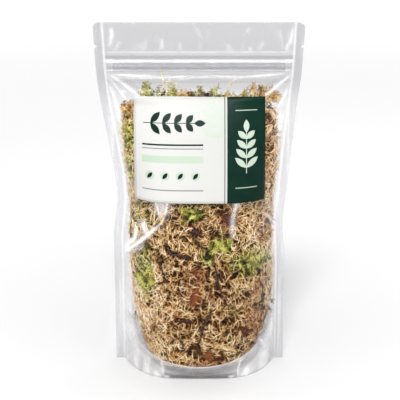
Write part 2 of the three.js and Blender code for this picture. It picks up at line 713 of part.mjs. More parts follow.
// ---------------------------------------------------------------- materials and assembly
const finish = (color, roughness, opacity = 1) =>
  new THREE.MeshStandardMaterial({ color, roughness, opacity, transparent: opacity < 1 });
const MATERIALS = {
  film: finish("#e9ecef", 0.12, 0.25),
  zip: finish("#eef0f2", 0.25, 0.5),
  label: finish("#f4f6f1", 0.45),
  straw: finish("#b08a55", 0.95),
  green: finish("#8a9a3a", 0.9),
  twig: finish("#3d2a20", 0.9),
  scrap: finish("#8a4526", 0.85),
};

const group = new THREE.Group();
function add(name, geometry, material) {
  const mesh = new THREE.Mesh(geometry, MATERIALS[material]);
  mesh.name = name;
  group.add(mesh);
}

add("pouch_front_film", notchedPanel(-1), "film");
add("pouch_back_film", notchedPanel(1), "film");
add("pouch_base_gusset", gussetFilm(), "film");
add("zip_front_track", zipTrack(-1), "zip");
add("zip_back_track", zipTrack(1), "zip");
add("front_label", labelSheet(), "label");
for (const [name, solid, material] of mossPieces()) add(name, geometryFrom(solid), material);

export default group;
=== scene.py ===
"""A clump of sphagnum moss in a clear stand-up pouch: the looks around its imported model.

Lengths in this file are millimetres, with X across the pouch, -Y out of its labelled front and Z up from
the surface that it stands on; a mesh is scaled to metres as it is made. The shapes of the pouch and of the
moss come from the same functions and sizes as the solids, so every piece lies where its solid does.
"""

import json
import math

import bpy
import numpy as np
from bpy.props import FloatProperty, FloatVectorProperty, IntProperty, PointerProperty
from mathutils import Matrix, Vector

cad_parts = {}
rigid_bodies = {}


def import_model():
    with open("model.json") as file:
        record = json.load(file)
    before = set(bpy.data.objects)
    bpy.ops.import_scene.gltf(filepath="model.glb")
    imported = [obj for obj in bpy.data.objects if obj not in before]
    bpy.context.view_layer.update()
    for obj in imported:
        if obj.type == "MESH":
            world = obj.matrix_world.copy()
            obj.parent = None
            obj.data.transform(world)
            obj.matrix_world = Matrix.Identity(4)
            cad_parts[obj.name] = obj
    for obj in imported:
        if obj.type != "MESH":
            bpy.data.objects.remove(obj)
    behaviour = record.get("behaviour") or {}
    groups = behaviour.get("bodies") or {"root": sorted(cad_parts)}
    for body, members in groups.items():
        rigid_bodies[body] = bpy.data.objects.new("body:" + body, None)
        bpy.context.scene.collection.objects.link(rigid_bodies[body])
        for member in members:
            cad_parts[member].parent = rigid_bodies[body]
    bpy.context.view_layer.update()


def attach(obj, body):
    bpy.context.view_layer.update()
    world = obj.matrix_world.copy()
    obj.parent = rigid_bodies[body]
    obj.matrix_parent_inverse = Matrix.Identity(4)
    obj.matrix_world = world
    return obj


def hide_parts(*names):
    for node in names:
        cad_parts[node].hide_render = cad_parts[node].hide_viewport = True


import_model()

bl_info = {
    "name": "Sphagnum Moss Pouch",
    "version": (1, 0, 0),
    "blender": (4, 5, 0),
    "location": "View3D > Sidebar > Moss Pouch",
    "description": "Builds sphagnum moss in a clear stand-up pouch around its packed model",
    "category": "Add Mesh",
}

MM = 0.001  # metres in one of this file's lengths
FRONT, BACK = -1, 1  # the sign of Y on each side
SIDES = {FRONT: "front", BACK: "back"}

# ---------------------------------------------------------------- the pouch's sizes
POUCH_HEIGHT = 330
SEAL_WIDTH = 8.5
FILM_APART = 0.45  # from the middle plane to the middle of each film, where they are welded
CORNER_RADIUS = 5
NOTCH_Z, NOTCH_DEPTH = 308, 3
GUSSET_HEIGHT, GUSSET_HALF_WIDTH, BASE_RISE, FLOOR_SAG = 50, 70, 11, 15.5
FILM_LIFT = 0.3  # least height of the middle of the gusset's film
ZIP_BOTTOM, ZIP_HEIGHT, ZIP_LENGTH = 285, 11, 160
LABEL_BOTTOM, LABEL_TOP, LABEL_HALF_WIDTH, LABEL_SHIFT = 169, 264, 60.5, 0.5

# Pairs of (height, value) that a smooth curve passes through. FULLNESS is the power of the bulge's section.
LEFT_EDGE = [(0, 82), (125, 82), (165, 78), (220, 85), (257, 91.7), (283, 95), (330, 97.5)]
RIGHT_EDGE = [(0, 83), (100, 83), (139, 80.5), (180, 84.5), (220, 88), (257, 91.7), (283, 95), (330, 97.5)]
HALF_DEPTH = [
    (0, 50), (50, 49.5), (110, 46), (150, 41), (185, 38), (222, 31), (250, 21), (270, 9), (284, 1.6),
    (297, 1.6), (303, 0.5), (330, 0.5),
]
FULLNESS = [(0, 4), (60, 3), (140, 3.2), (172, 3.8), (225, 3.6), (256, 3), (284, 40), (330, 40)]

# ---------------------------------------------------------------- the moss's sizes
# Pairs of (height, distance from the middle).
MOSS_LEFT = [
    (2, 26), (6, 38), (20, 52), (53, 62), (84, 66), (127, 68), (165, 66.5), (205, 71), (240, 73),
    (256, 66), (264, 52), (268, 30),
]
MOSS_RIGHT = [
    (2, 26), (6, 38), (20, 55), (53, 69), (84, 72.5), (139, 71.5), (165, 71), (205, 75.5), (240, 76),
    (256, 70), (264, 56), (268, 30),
]
MOSS_BOTTOM, MOSS_TOP = 2, 268
MOSS_BOXINESS = 0.4  # power of its section: lower is more like a box
FILM_CLEAR = 1.25  # from the film's middle to the moss
LEAST_DEPTH = 1.2
CROWN_TOP, CROWN_HEIGHT = 274, 14

# Tufts bedded in the moss's surface: x, z, size, side.
GREEN_TUFTS = [
    (-6, 158, 15, FRONT), (20, 128, 15, FRONT), (47, 108, 18, FRONT), (-50, 92, 16, FRONT),
    (-64, 228, 14, FRONT), (-44, 252, 13, FRONT), (38, 150, 17, BACK), (-34, 86, 18, BACK),
    (30, 232, 15, BACK),
]
# Twigs: places (x, z) along each, radius, side.
TWIGS = [
    ([(-31, 123), (-18, 119), (-6, 117)], 1.4, FRONT),
    ([(-37, 110), (-34, 101), (-30, 93)], 1.1, FRONT),
    ([(15, 109), (19, 90), (25, 70)], 1.3, FRONT),
    ([(12, 66), (4, 50), (-1, 32)], 1.5, FRONT),
    ([(58, 88), (62, 72), (60, 56)], 1.1, FRONT),
    ([(-20, 200), (-6, 188), (6, 172)], 1.4, BACK),
    ([(10, 96), (26, 84), (34, 64)], 1.3, BACK),
]
# Leaf scraps: x, z, length, width, turn in degrees, side.
SCRAPS = [
    (-2, 141, 13, 9, 80, FRONT), (27, 152, 15, 8, 60, FRONT), (-4, 79, 20, 9, -25, FRONT),
    (-15, 56, 20, 6, 80, FRONT), (46, 40, 15, 8, 50, FRONT), (10, 21, 15, 8, 10, FRONT),
    (-24, 134, 16, 9, 30, BACK), (28, 190, 15, 8, -40, BACK), (-8, 52, 17, 8, 15, BACK),
]
# Loose stems that lean out at the top: x, z, lean to the right, rise.
STRAYS = [(-52, 256, 4, 15), (-32, 258, 3, 22), (-9, 260, -5, 13), (28, 259, -4, 16), (48, 256, 5, 16)]
SIDE_STRAYS = ((4, 252, 110), (150, 252, 60))  # lowest, highest and number of loose ends at each side
# Tufts at the top of the moss: x, half width, top, how green, shade and number of stems.
CROWN = [
    (-67, 5, 259, -0.3, 0.02, 18), (-49, 5.5, 277, 1.4, 0.42, 22), (-37, 2.5, 273, 1.1, 0.5, 5),
    (-26, 5, 274, 1.1, 0.55, 16), (-16, 6, 269.5, 0.2, 0.35, 16), (1, 6, 271, 1.1, 0.32, 16),
    (16, 4.5, 273, 1.4, 0.5, 14), (30, 7, 268, 0.5, 0.35, 12), (43, 5, 269, 1.0, 0.4, 9),
    (51, 2.5, 278, 0.35, 0.45, 9), (59, 6, 273, 0.25, 0.12, 20), (68, 6.5, 272, 0.4, 0.15, 28),
]
# Single long stems that stand above the tufts: places (x, z) along each, radius, how green, shade.
LONG_STEMS = [
    ([(-33, 262), (-33.5, 271), (-32, 276), (-35, 282), (-34.5, 287)], 0.55, 0.75, 0.8),
    ([(-32, 275), (-27, 276.5), (-21, 274), (-16, 270)], 0.42, 0.5, 0.85),
    ([(24, 264), (27, 270), (30, 275), (32.5, 279)], 0.32, -0.3, 0.95),
    ([(66, 84), (69, 74), (68, 66), (66, 58)], 0.4, -1, -0.6),
    ([(69, 66), (71, 60), (72, 62)], 0.3, -1, -0.6),
    ([(66, 56), (69.5, 53), (71, 50)], 0.35, -1, -0.6),
    ([(-57, 49), (-61, 46.5), (-63, 48.5)], 0.35, -1, -0.6),
]


# ---------------------------------------------------------------- settings
class PouchSettings(bpy.types.PropertyGroup):
    """Sizes and colours of the film pouch"""

    film_thickness: FloatProperty(
        name="Film thickness", description="Thickness of each film", default=0.00025, unit="LENGTH"
    )
    film_tint: FloatVectorProperty(
        name="Film tint", description="Share of each colour that one face of the film lets through",
        default=(0.979, 0.977, 0.981), subtype="COLOR",
    )
    zip_colour: FloatVectorProperty(
        name="Zip colour", description="Colour of the zip's strips", default=(0.50, 0.50, 0.503),
        subtype="COLOR",
    )


class LabelSettings(bpy.types.PropertyGroup):
    """Colours of the printed label"""

    paper: FloatVectorProperty(
        name="Paper", description="Colour of the label's paper", default=(0.452, 0.450, 0.438),
        subtype="COLOR",
    )
    strip: FloatVectorProperty(
        name="Strip", description="Colour of the dark strip", default=(0.0013, 0.014, 0.009), subtype="COLOR"
    )
    leaf: FloatVectorProperty(
        name="Leaf", description="Colour of the pale leaves and bars", default=(0.40, 0.46, 0.38),
        subtype="COLOR",
    )


class MossSettings(bpy.types.PropertyGroup):
    """Amounts of moss"""

    stem_density: FloatProperty(
        name="Stems", description="Loose stems on each square metre of the moss's surface", default=182000.0
    )
    shoot_density: FloatProperty(
        name="Green shoots", description="Green shoots on each square metre of a tuft", default=52000.0
    )
    seed: IntProperty(name="Seed", description="Changes where each stem lies", default=7)


class StageSettings(bpy.types.PropertyGroup):
    """The floor and the light"""

    floor_colour: FloatVectorProperty(
        name="Floor", description="Colour of the floor", default=(0.50, 0.50, 0.503), subtype="COLOR"
    )
    light_power: FloatProperty(
        name="Light", description="Power of the main lamp in watts", default=32.0
    )


# ---------------------------------------------------------------- shape functions
def along(pairs, z):
    """Value at height z of the smooth curve through the pairs, which never overshoots them."""
    z = np.asarray(z, float)
    places, values = np.array(pairs, float).T
    secants = np.diff(values) / np.diff(places)
    before, after = secants[:-1], secants[1:]
    together = before * after > 0
    inner = np.where(together, 2 * before * after / np.where(together, before + after, 1), 0)
    slopes = np.concatenate([secants[:1], inner, secants[-1:]])
    i = np.clip(np.searchsorted(places, z, side="right") - 1, 0, len(places) - 2)
    run = places[i + 1] - places[i]
    t = np.clip((z - places[i]) / run, 0, 1)
    a, b = values[i], values[i + 1]
    bend = run * t * (1 - t) * ((1 - t) * slopes[i] - t * slopes[i + 1])
    return a + (b - a) * t * t * (3 - 2 * t) + bend


def step(low, high, value):
    """Smooth step from 0 at low to 1 at high."""
    t = np.clip((np.asarray(value, float) - low) / (high - low), 0, 1)
    return t * t * (3 - 2 * t)


def by_side(x, left, right, z):
    """Value at height z of the left curve where x is below 0, and of the right one elsewhere."""
    return np.where(np.asarray(x) < 0, along(left, z), along(right, z))


def half_width(x, z):
    """Distance from the middle to the pouch's edge, on x's side."""
    return by_side(x, LEFT_EDGE, RIGHT_EDGE, z)


def moss_reach(x, z):
    """Distance from the middle to the moss's side, on x's side."""
    return by_side(x, MOSS_LEFT, MOSS_RIGHT, z)


def bulge(x, z):
    """How far the film's plain shape stands from where it is welded."""
    u = np.minimum(np.abs(x) / (half_width(x, z) - SEAL_WIDTH), 1)
    return along(HALF_DEPTH, z) * (1 - u ** along(FULLNESS, z))


def weld_height(x):
    """Height of the base weld: low in the middle and up to the gusset's height at the sides."""
    u = np.minimum(np.abs(x) / GUSSET_HALF_WIDTH, 1)
    return BASE_RISE + (GUSSET_HEIGHT - BASE_RISE) * (1 - np.sqrt(1 - u**1.7))


def between(grid, i, j, s, t):
    """Value between four neighbours of a grid that repeats, at shares s and t onward from i, j."""
    rows, columns = grid.shape
    left, right = i % rows, (i + 1) % rows
    low, high = (grid[left, k % columns] * (1 - s) + grid[right, k % columns] * s for k in (j, j + 1))
    return low * (1 - t) + high * t


def ripple(x, z, width, height, seed):
    """Smooth random waves from -1 to 1, about one for each width by height."""
    lattice = np.random.default_rng(seed).uniform(-1, 1, (64, 64))
    u, v = np.asarray(x, float) / width + 32, np.asarray(z, float) / height + 4
    i, j = np.floor(u).astype(int), np.floor(v).astype(int)
    s, t = u - i, v - j
    return between(lattice, i, j, s * s * (3 - 2 * s), t * t * (3 - 2 * t))


def smooth_path(points, count):
    """Evenly numbered points on a Catmull-Rom curve through the given points."""
    points = np.array(points, float)
    ends = np.vstack([2 * points[0] - points[1], points, 2 * points[-1] - points[-2]])
    t = np.linspace(0, len(points) - 1, count)
    k = np.minimum(t.astype(int), len(points) - 2)
    t = (t - k)[:, None]
    a, b, c, d = (ends[k + n] for n in range(4))
    square, cube = 2 * a - 5 * b + 4 * c - d, 3 * b - a - 3 * c + d
    return 0.5 * (2 * b + (c - a) * t + square * t**2 + cube * t**3)


def nearness(x, z, path, width, fade=0.3):
    """1 on a line of (x, z) places and less away from it, fading towards the line's ends."""
    x, z = np.asarray(x, float), np.asarray(z, float)
    path = smooth_path(path, 3 * len(path))
    runs = np.diff(path, axis=0)
    lengths = np.hypot(*runs.T)
    starts = np.concatenate([[0], np.cumsum(lengths)])
    near = np.zeros(np.broadcast(x, z).shape)
    for (px, pz), (dx, dz), length, start in zip(path, runs, lengths, starts):
        t = np.clip(((x - px) * dx + (z - pz) * dz) / length**2, 0, 1)
        distance = np.hypot(x - px - t * dx, z - pz - t * dz)
        share = (start + t * length) / starts[-1]
        ends = step(0, fade, share) * step(0, fade, 1 - share) if fade else 1
        near = np.maximum(near, np.exp(-((distance / width) ** 1.5)) * ends)
    return near


# ---------------------------------------------------------------- folds of the film
# Each fold is (its line of (x, z) places, its width, how far it stands out, how white it is), where the white
# is a painted highlight along the fold, partly the film's own whitening at the crease.
FRONT_FOLDS = [
    # from the left end of the zip
    ([(-87, 284), (-72, 276), (-53, 263)], 0.9, 1.2, 0.5),
    ([(-87, 283), (-76, 272), (-63, 256)], 0.8, 1.0, 0.4),
    ([(-88, 280), (-81, 268), (-75, 248), (-73, 232)], 1.5, 1.2, 0.6),
    ([(-88, 270), (-84, 256), (-81, 238)], 2.0, 1.0, 0.35),
    # from the right end of the zip
    ([(88, 284), (75, 275), (58, 262)], 0.9, 1.1, 0.55),
    ([(88, 281), (84, 271), (72, 250)], 2.0, 1.5, 0.6),
    ([(89, 274), (86, 258), (80, 240), (79, 226)], 2.6, 1.2, 0.55),
    # the two sags under the zip, which meet in a small peak
    (
        [(-86, 283.5), (-65, 281.6), (-42, 280.4), (-26, 280.0), (-10, 280.6), (-4, 282), (1, 284.6)],
        0.7, 0.5, 0.25,
    ),
    ([(-84, 282.6), (-60, 281.3), (-40, 280.6)], 0.7, 0.3, 0.5),
    ([(1, 284.6), (8, 282.4), (20, 280.6), (40, 280.4), (62, 281.8), (86, 284)], 0.7, 0.5, 0.22),
    ([(44, 280.8), (64, 282), (84, 283.8)], 0.7, 0.25, 0.4),
    # where the pouch is drawn in, under the label
    ([(-86, 98), (-62, 122), (-44, 141), (-32, 152)], 1.2, 1.9, 1.2),
    ([(-78, 106), (-67, 122), (-60, 132), (-60, 148)], 1.5, 1.2, 0.85),
    ([(-53, 150), (-51, 142), (-49, 136)], 2.3, 1.0, 0.85),
    ([(-70, 113), (-58, 120), (-50, 130)], 1.5, 0.7, 0.3),
    ([(-83, 134), (-76, 146), (-64, 151)], 2.0, 1.2, 0.4),
    ([(-43, 190), (-40, 170), (-34.5, 150)], 0.75, 1.0, 0.7),
    ([(-27, 190), (-29, 170), (-33, 150)], 0.75, 1.0, 0.6),
    ([(-35, 196), (-34.5, 172), (-33.5, 152)], 5.0, 0.5, 0.38),
    ([(38, 190), (34.5, 168), (31, 152), (32, 132)], 1.9, 1.2, 0.42),
    ([(76, 250), (75, 238), (77, 228)], 2.2, 1.0, 0.9),
    ([(58, 157), (67, 148), (75, 131)], 1.1, 1.2, 0.5),
    ([(80, 166), (74, 158), (72, 146)], 1.8, 1.2, 0.4),
    # down the sides, where the film leaves the moss
    ([(-72, 128), (-75, 100), (-75, 66)], 1.6, 0.8, 0.3),
    ([(-78, 92), (-75, 56), (-66, 30), (-52, 17)], 1.5, 0.9, 0.35),
    ([(76, 118), (78, 84), (77, 52)], 1.6, 0.8, 0.3),
    ([(79, 58), (74, 38), (62, 24), (48, 14)], 1.5, 0.9, 0.35),
    # in the header
    ([(-81, 328), (-80, 318), (-83, 306)], 1.7, 0.7, 0.6),
    ([(-72, 314), (-76, 307), (-78, 303)], 1.2, 0.5, 0.35),
    ([(-49, 316), (-50, 303)], 1.1, 0.5, 0.3),
    ([(-34, 316), (-34.5, 303)], 1.5, 0.6, 0.5),
    ([(-17, 313), (-18, 303)], 1.2, 0.4, 0.3),
    ([(2, 314), (0, 304)], 1.0, 0.4, 0.2),
    ([(27, 311), (27.5, 303)], 1.2, 0.4, 0.35),
    ([(42, 321), (48, 325)], 1.0, 0.4, 0.3),
    ([(46, 308), (49, 303)], 1.1, 0.5, 0.45),
    ([(60, 313), (54, 304)], 1.3, 0.5, 0.4),
    ([(88, 328), (85, 316), (83, 308)], 1.8, 0.8, 0.75),
    ([(82, 312), (81, 303)], 1.5, 0.7, 0.65),
    # across the base
    ([(-36, 22), (-34.5, 11), (-34, -4)], 1.1, 1.2, 0.45),
    ([(44, 24), (38, 12), (37, -4)], 1.1, 1.2, 0.5),
    ([(-50, 26), (-48, 14), (-48, -2)], 1.6, 0.9, 0.3),
    ([(56, 36), (64, 22), (71, 12)], 1.2, 0.9, 0.6),
    ([(-72, 36), (-76, 18), (-74, 3)], 1.6, 1.0, 0.4),
    ([(72, 36), (77, 18), (76, 3)], 1.6, 1.0, 0.4),
]
BACK_FOLDS = [
    ([(-87, 283), (-70, 275), (-52, 262)], 2.0, 1.4, 0.5),
    ([(-88, 279), (-80, 264), (-74, 240)], 1.6, 1.1, 0.5),
    ([(88, 283), (72, 274), (54, 263)], 1.8, 1.4, 0.55),
    ([(88, 279), (82, 262), (75, 238)], 1.6, 1.1, 0.5),
    ([(-86, 283), (-50, 280), (-14, 280), (4, 284)], 1.2, 0.9, 0.55),
    ([(4, 284), (24, 280), (54, 280), (86, 284)], 1.2, 0.9, 0.55),
    ([(-78, 172), (-52, 160), (-20, 164)], 1.8, 1.4, 0.7),
    ([(78, 170), (58, 156), (30, 150)], 1.8, 1.4, 0.7),
    ([(-60, 226), (-46, 210), (-40, 190)], 1.8, 1.0, 0.45),
    ([(44, 232), (50, 212), (46, 190)], 1.8, 1.0, 0.45),
    ([(-10, 120), (-4, 96), (-8, 70)], 1.8, 0.9, 0.35),
    ([(-76, 120), (-77, 86), (-70, 40), (-50, 17)], 1.6, 0.9, 0.35),
    ([(77, 120), (78, 86), (72, 40), (50, 17)], 1.6, 0.9, 0.35),
    ([(-56, 22), (-40, 12), (-34, 1)], 1.6, 1.2, 0.55),
    ([(54, 22), (40, 12), (33, 1)], 1.6, 1.2, 0.55),
]
FOLDS = {FRONT: FRONT_FOLDS, BACK: BACK_FOLDS}
# Raised lines where the zip and the seal above it press through: (height, width, how far out, white), where
# the white is a painted highlight along the line.
ZIP_LINES = [(294.6, 1.4, 0.55, 0.42), (290.9, 0.8, 0.35, 0.1), (286.4, 0.6, 0.4, 0.2)]
SEAL_LINES = [(303.0, 0.55, 0.25, 0.14), (300.7, 0.45, 0.2, 0.10)]
# Bands that are less clear: (lowest, highest, how much).
DIM_BANDS = [(300.5, 331, 0.37), (296.6, 299.5, 0.62), (286.8, 293.2, 0.38), (276, 286, 0.33)]
LABEL_STIFFNESS = 0.3  # share of the film's folds left under the label
# Ends of the smooth steps that more than one of the film's looks follow, as (where 0, where 1).
BODY_TOP, HEADER_FOOT, UPPER_SEAL = (284, 276), (297, 303), (250, 285)  # heights
SEAL_EDGE = (0.5, -1.5)  # distances in from the side weld


def on_label(x, z):
    """1 under the label and 0 away from it, with a soft edge outside it."""
    across = step(4, 0, np.abs(x - LABEL_SHIFT) - LABEL_HALF_WIDTH)
    return across * step(4, 0, np.maximum(LABEL_BOTTOM - z, z - LABEL_TOP))


def crumples(x, z, inside, free, seed):
    """How far out the small random folds stand, in the body, at its sides and in the header, and how white
    their painted highlights are.
    """
    body = free * step(*BODY_TOP, z)
    out = body * (0.45 * ripple(x, z, 19, 23, seed) + 0.16 * ripple(x, z, 6.5, 8, seed + 3))
    pleats = ripple(0.3 * x, z, 12, 9.5, seed + 6)
    gather = np.exp(-np.maximum(inside, 0) / 10) * free * step(281, 262, z)
    out += 1.1 * gather * pleats
    header = step(*HEADER_FOOT, z) * step(0, 2.5, inside)
    sharp = 1 - 2 * np.abs(ripple(x + 0.1 * z, z, 7.5, 42, seed + 9))
    out += header * (0.28 * sharp + 0.22 * ripple(x, z, 17, 30, seed + 12))
    white = 0.22 * header * np.maximum(sharp, 0) ** 4 * step(-0.1, 0.8, ripple(x, z, 9, 11, seed + 15))
    return out, white + 0.12 * np.maximum(gather * pleats, 0)


def seal_white_and_highlight(x, z, inside, seed):
    """How white the side welds are: a faint whiteness of the weld with fine upright streaks of painted
    highlight, and a painted highlight line where each weld begins.
    """
    streaks = np.maximum(ripple(x, z, 1.5, 60, seed + 18), 0)
    upper = step(*UPPER_SEAL, z)
    line = np.exp(-((inside / 0.8) ** 2))
    band = step(*SEAL_EDGE, inside) * (0.01 + 0.16 * streaks) * (1 - 0.7 * upper)
    return np.maximum(band, (0.16 - 0.08 * upper) * line)


def haze_and_painted_light(x, z, seed):
    """How white the slack film is beside the moss's lower part and under the base weld: partly the film's
    milkiness, partly painted light that lifts the shade seen through it, less on the left.
    """
    empty = step(-1, 6, np.abs(x) - moss_reach(x, np.clip(z, MOSS_BOTTOM, MOSS_TOP)))
    rising = 0.04 + 0.15 * step(100, 40, z) + 0.17 * step(70, 30, z)
    beside = rising * (1 + 0.7 * ripple(x, z, 5, 40, seed + 24))
    beside = beside * empty * step(272, 240, z) * (1 - 0.35 * step(0, -50, x))
    under = step(0.5, -0.5, z - weld_height(x)) * step(84, 60, np.abs(x))
    return np.maximum(beside, under * (0.025 + 0.085 * step(3, 8, z)))


def dimness(x, z, inside):
    """How much the film dims what is behind it: in bands, along the side welds, and as painted shade under
    the base weld.
    """
    dim = sum(most * step(low - 1, low, z) * step(high + 1, high, z) for low, high, most in DIM_BANDS)
    dim += (0.30 * step(256, 276, z) + 0.03) * step(277, 276, z)
    beyond_zip = step(-0.5, 0.5, np.abs(x) - ZIP_LENGTH / 2)
    dim += 0.18 * beyond_zip * step(285.5, 286.5, z) * step(295, 294, z)
    seal = step(*SEAL_EDGE, inside) * (0.21 + 0.24 * step(*UPPER_SEAL, z))
    return np.maximum(np.maximum(dim * step(-1, 2, inside), seal), base_shade(x, z))


def film_relief(x, z, side):
    """How far the folded film stands out, how white it is as painted highlight and painted light, and how
    much it dims what is behind it, partly as painted shade.
    """
    seed = 20 + side
    inside = half_width(x, z) - SEAL_WIDTH - np.abs(x)  # distance in from the side weld
    free = step(0, 4, inside)
    out, white = crumples(x, z, inside, free, seed)
    for path, width, height, whiteness in FOLDS[side]:
        near = nearness(x, z, path, width) * free
        out += height * near
        white = np.maximum(white, whiteness * near)
    # Less painted highlight in the header, and at the shoulders where the lamp already lights the white
    # strongly.
    shoulder = step(225, 250, z) * step(286, 280, z) * step(62, 76, np.abs(x))
    white = white * (1 - 0.6 * step(*HEADER_FOOT, z) - 0.45 * shoulder)
    for line, width, height, whiteness in ZIP_LINES + SEAL_LINES:
        near = np.exp(-(((z - line) / width) ** 2)) * step(0, 3, inside)
        out += height * near
        white = np.maximum(white, whiteness * near)
    stiff = on_label(x, z) if side == FRONT else 0
    out = out * (1 - (1 - LABEL_STIFFNESS) * stiff)
    white = white * (0.8 + 0.2 * ripple(x, z, 5, 4, seed + 21))
    white = np.maximum(white, seal_white_and_highlight(x, z, inside, seed))
    white = np.maximum(white, haze_and_painted_light(x, z, seed) * free)
    return out, white, dimness(x, z, inside)


def base_shade(x, z):
    """Painted shade: how much the film under the base weld dims what is behind it, standing for the shadow
    under the pouch that shows through there.
    """
    return step(39, 33, np.abs(np.asarray(x, float) - 1)) * step(7, 2.5, z)


class FilmMap:
    """The folded film's distance from the middle plane, kept at every millimetre of one side."""

    def __init__(self, side):
        self.x, self.z = np.arange(-100.0, 101.0), np.arange(-6.0, 341.0)
        x, z = np.meshgrid(self.x, self.z, indexing="ij")
        height = np.clip(z, 0, POUCH_HEIGHT)
        self.depth = FILM_APART + bulge(x, height) + film_relief(x, height, side)[0]

    def at(self, x, z):
        """Distance of the film at places between the ones that are kept."""
        u = np.clip(x - self.x[0], 0, len(self.x) - 1.001)
        v = np.clip(z - self.z[0], 0, len(self.z) - 1.001)
        i, j = u.astype(int), v.astype(int)
        return between(self.depth, i, j, u - i, v - j)


FILM_MAPS = {side: FilmMap(side) for side in (FRONT, BACK)}


def film_depth(x, y, z):
    """Distance from the middle plane to the film that a place is nearest to."""
    return np.where(y < 0, FILM_MAPS[FRONT].at(x, z), FILM_MAPS[BACK].at(x, z))


def sagged(height, share):
    """Height of the gusset's film where it hangs under the moss, at a share of the way out to a panel."""
    return np.maximum(FILM_LIFT, height - FLOOR_SAG * (1 - share**4))


def floor_height(x, y):
    """Height of the base gusset's film at a place."""
    height = weld_height(x)
    reach = FILM_APART + bulge(x, height) - 1.5
    return sagged(height, np.clip(np.asarray(y) / reach, -1, 1))


# ---------------------------------------------------------------- mesh making
def add_object(name, data):
    """An object of the scene around its data."""
    piece = bpy.data.objects.new(name, data)
    bpy.context.scene.collection.objects.link(piece)
    return piece


def remove_object(piece):
    """Removes an object and its mesh."""
    mesh = piece.data
    bpy.data.objects.remove(piece)
    bpy.data.meshes.remove(mesh)


def make_object(name, points, faces, smooth=True):
    """An object from points in millimetres."""
    mesh = bpy.data.meshes.new(name)
    mesh.from_pydata((np.asarray(points) * MM).tolist(), [], faces)
    mesh.shade_smooth() if smooth else mesh.shade_flat()
    return add_object(name, mesh)


def keep_value(piece, name, values):
    """Stores one number for each point of a piece, for its material to read."""
    attribute = piece.data.attributes.new(name, "FLOAT", "POINT")
    attribute.data.foreach_set("value", np.asarray(values, np.float32))


def keep_on_shell(piece, **grids):
    """Stores numbers given for a grid of points on both faces of the shell around it."""
    for name, grid in grids.items():
        keep_value(piece, name, np.tile(np.ravel(grid), 2))


def read_places(source, key):
    """Places that a mesh keeps, in millimetres."""
    places = np.empty(len(source) * 3, np.float32)
    source.foreach_get(key, places)
    return places.reshape(-1, 3).astype(float) / MM


def place_piece(piece, material, slot, *nodes):
    """Gives a finished piece its material, its body and the nodes that it stands for; its slot is not used.
    """
    if material is not None:
        piece.data.materials.clear()
        piece.data.materials.append(material)
    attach(piece, "root")
    if nodes:
        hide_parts(*nodes)


def grid_faces(rows, columns, start=0, around=False):
    """Faces of a grid of points, which goes round if around is set."""
    j, i = np.meshgrid(np.arange(rows - 1), np.arange(columns if around else columns - 1), indexing="ij")
    right = (i + 1) % columns
    corners = j * columns + i, j * columns + right, (j + 1) * columns + right, (j + 1) * columns + i
    return [tuple(face) for face in (np.stack(corners).reshape(4, -1).T + start).tolist()]


def flipped(faces):
    """Faces that point the other way."""
    return [face[::-1] for face in faces]


def shell(grid, thickness):
    """Points and faces of a closed sheet around a grid of points, which faces across x up."""
    rows, columns = grid.shape[:2]
    normal = np.cross(np.gradient(grid, axis=1), np.gradient(grid, axis=0))
    normal /= np.linalg.norm(normal, axis=2, keepdims=True)
    points = np.concatenate([grid + normal * thickness / 2, grid - normal * thickness / 2]).reshape(-1, 3)
    count = rows * columns
    rim = [*range(columns - 1), *range(columns - 1, count - 1, columns)]
    rim += [*range(count - 1, count - columns, -1), *range(count - columns, 0, -columns)]
    edge = [(b, a, a + count, b + count) for a, b in zip(rim, rim[1:] + rim[:1])]
    return points, grid_faces(rows, columns) + flipped(grid_faces(rows, columns, count)) + edge


def tube(path, radii, sides):
    """Points and faces of a tube that closes to a point at each end of its path."""
    path, radii = np.asarray(path, float), np.asarray(radii, float)
    ahead = np.gradient(path, axis=0)
    ahead /= np.linalg.norm(ahead, axis=1, keepdims=True)
    across = np.cross(ahead, (0.05, 0.1, 1.0))
    across /= np.linalg.norm(across, axis=1, keepdims=True)
    up = np.cross(across, ahead)
    angles = 2 * np.pi * np.arange(sides) / sides
    rings = radii[1:-1, None, None] * (
        np.cos(angles)[:, None] * across[1:-1, None] + np.sin(angles)[:, None] * up[1:-1, None]
    )
    points = np.vstack([(path[1:-1, None] + rings).reshape(-1, 3), path[:1], path[-1:]])
    count = len(path) - 2
    faces = flipped(grid_faces(count, sides, around=True))
    first, last, last_ring = count * sides, count * sides + 1, (count - 1) * sides
    for k in range(sides):
        onward = (k + 1) % sides
        faces += [(first, k, onward), (last, last_ring + onward, last_ring + k)]
    return points, faces


def spike(root, tip, radius):
    """Points and faces of a thin three-sided spike."""
    root, tip = np.asarray(root, float), np.asarray(tip, float)
    ahead = (tip - root) / np.linalg.norm(tip - root)
    across = np.cross(ahead, (0.2, 0.1, 1.0))
    across /= np.linalg.norm(across)
    up = np.cross(across, ahead)
    thirds = (0.0, 2.094, 4.189)  # of a turn
    ring = [root + radius * (math.cos(a) * across + math.sin(a) * up) for a in thirds]
    return np.array([*ring, tip]), [(0, 1, 3), (1, 2, 3), (2, 0, 3), (2, 1, 0)]


def joined(parts):
    """Several (points, faces) as one."""
    points, faces, count = [], [], 0
    for part_points, part_faces in parts:
        points.append(part_points)
        faces += [tuple(k + count for k in face) for face in part_faces]
        count += len(part_points)
    return np.vstack(points), faces


# ---------------------------------------------------------------- material making
def add_node(tree, kind, inputs=(), **settings):
    """Adds a node, with its settings and its inputs by name or number."""
    node = tree.nodes.new(kind)
    for name, value in settings.items():
        setattr(node, name, value)
    for name, value in dict(inputs).items():
        if isinstance(value, bpy.types.NodeSocket):
            tree.links.new(value, node.inputs[name])
        else:
            node.inputs[name].default_value = value
    return node


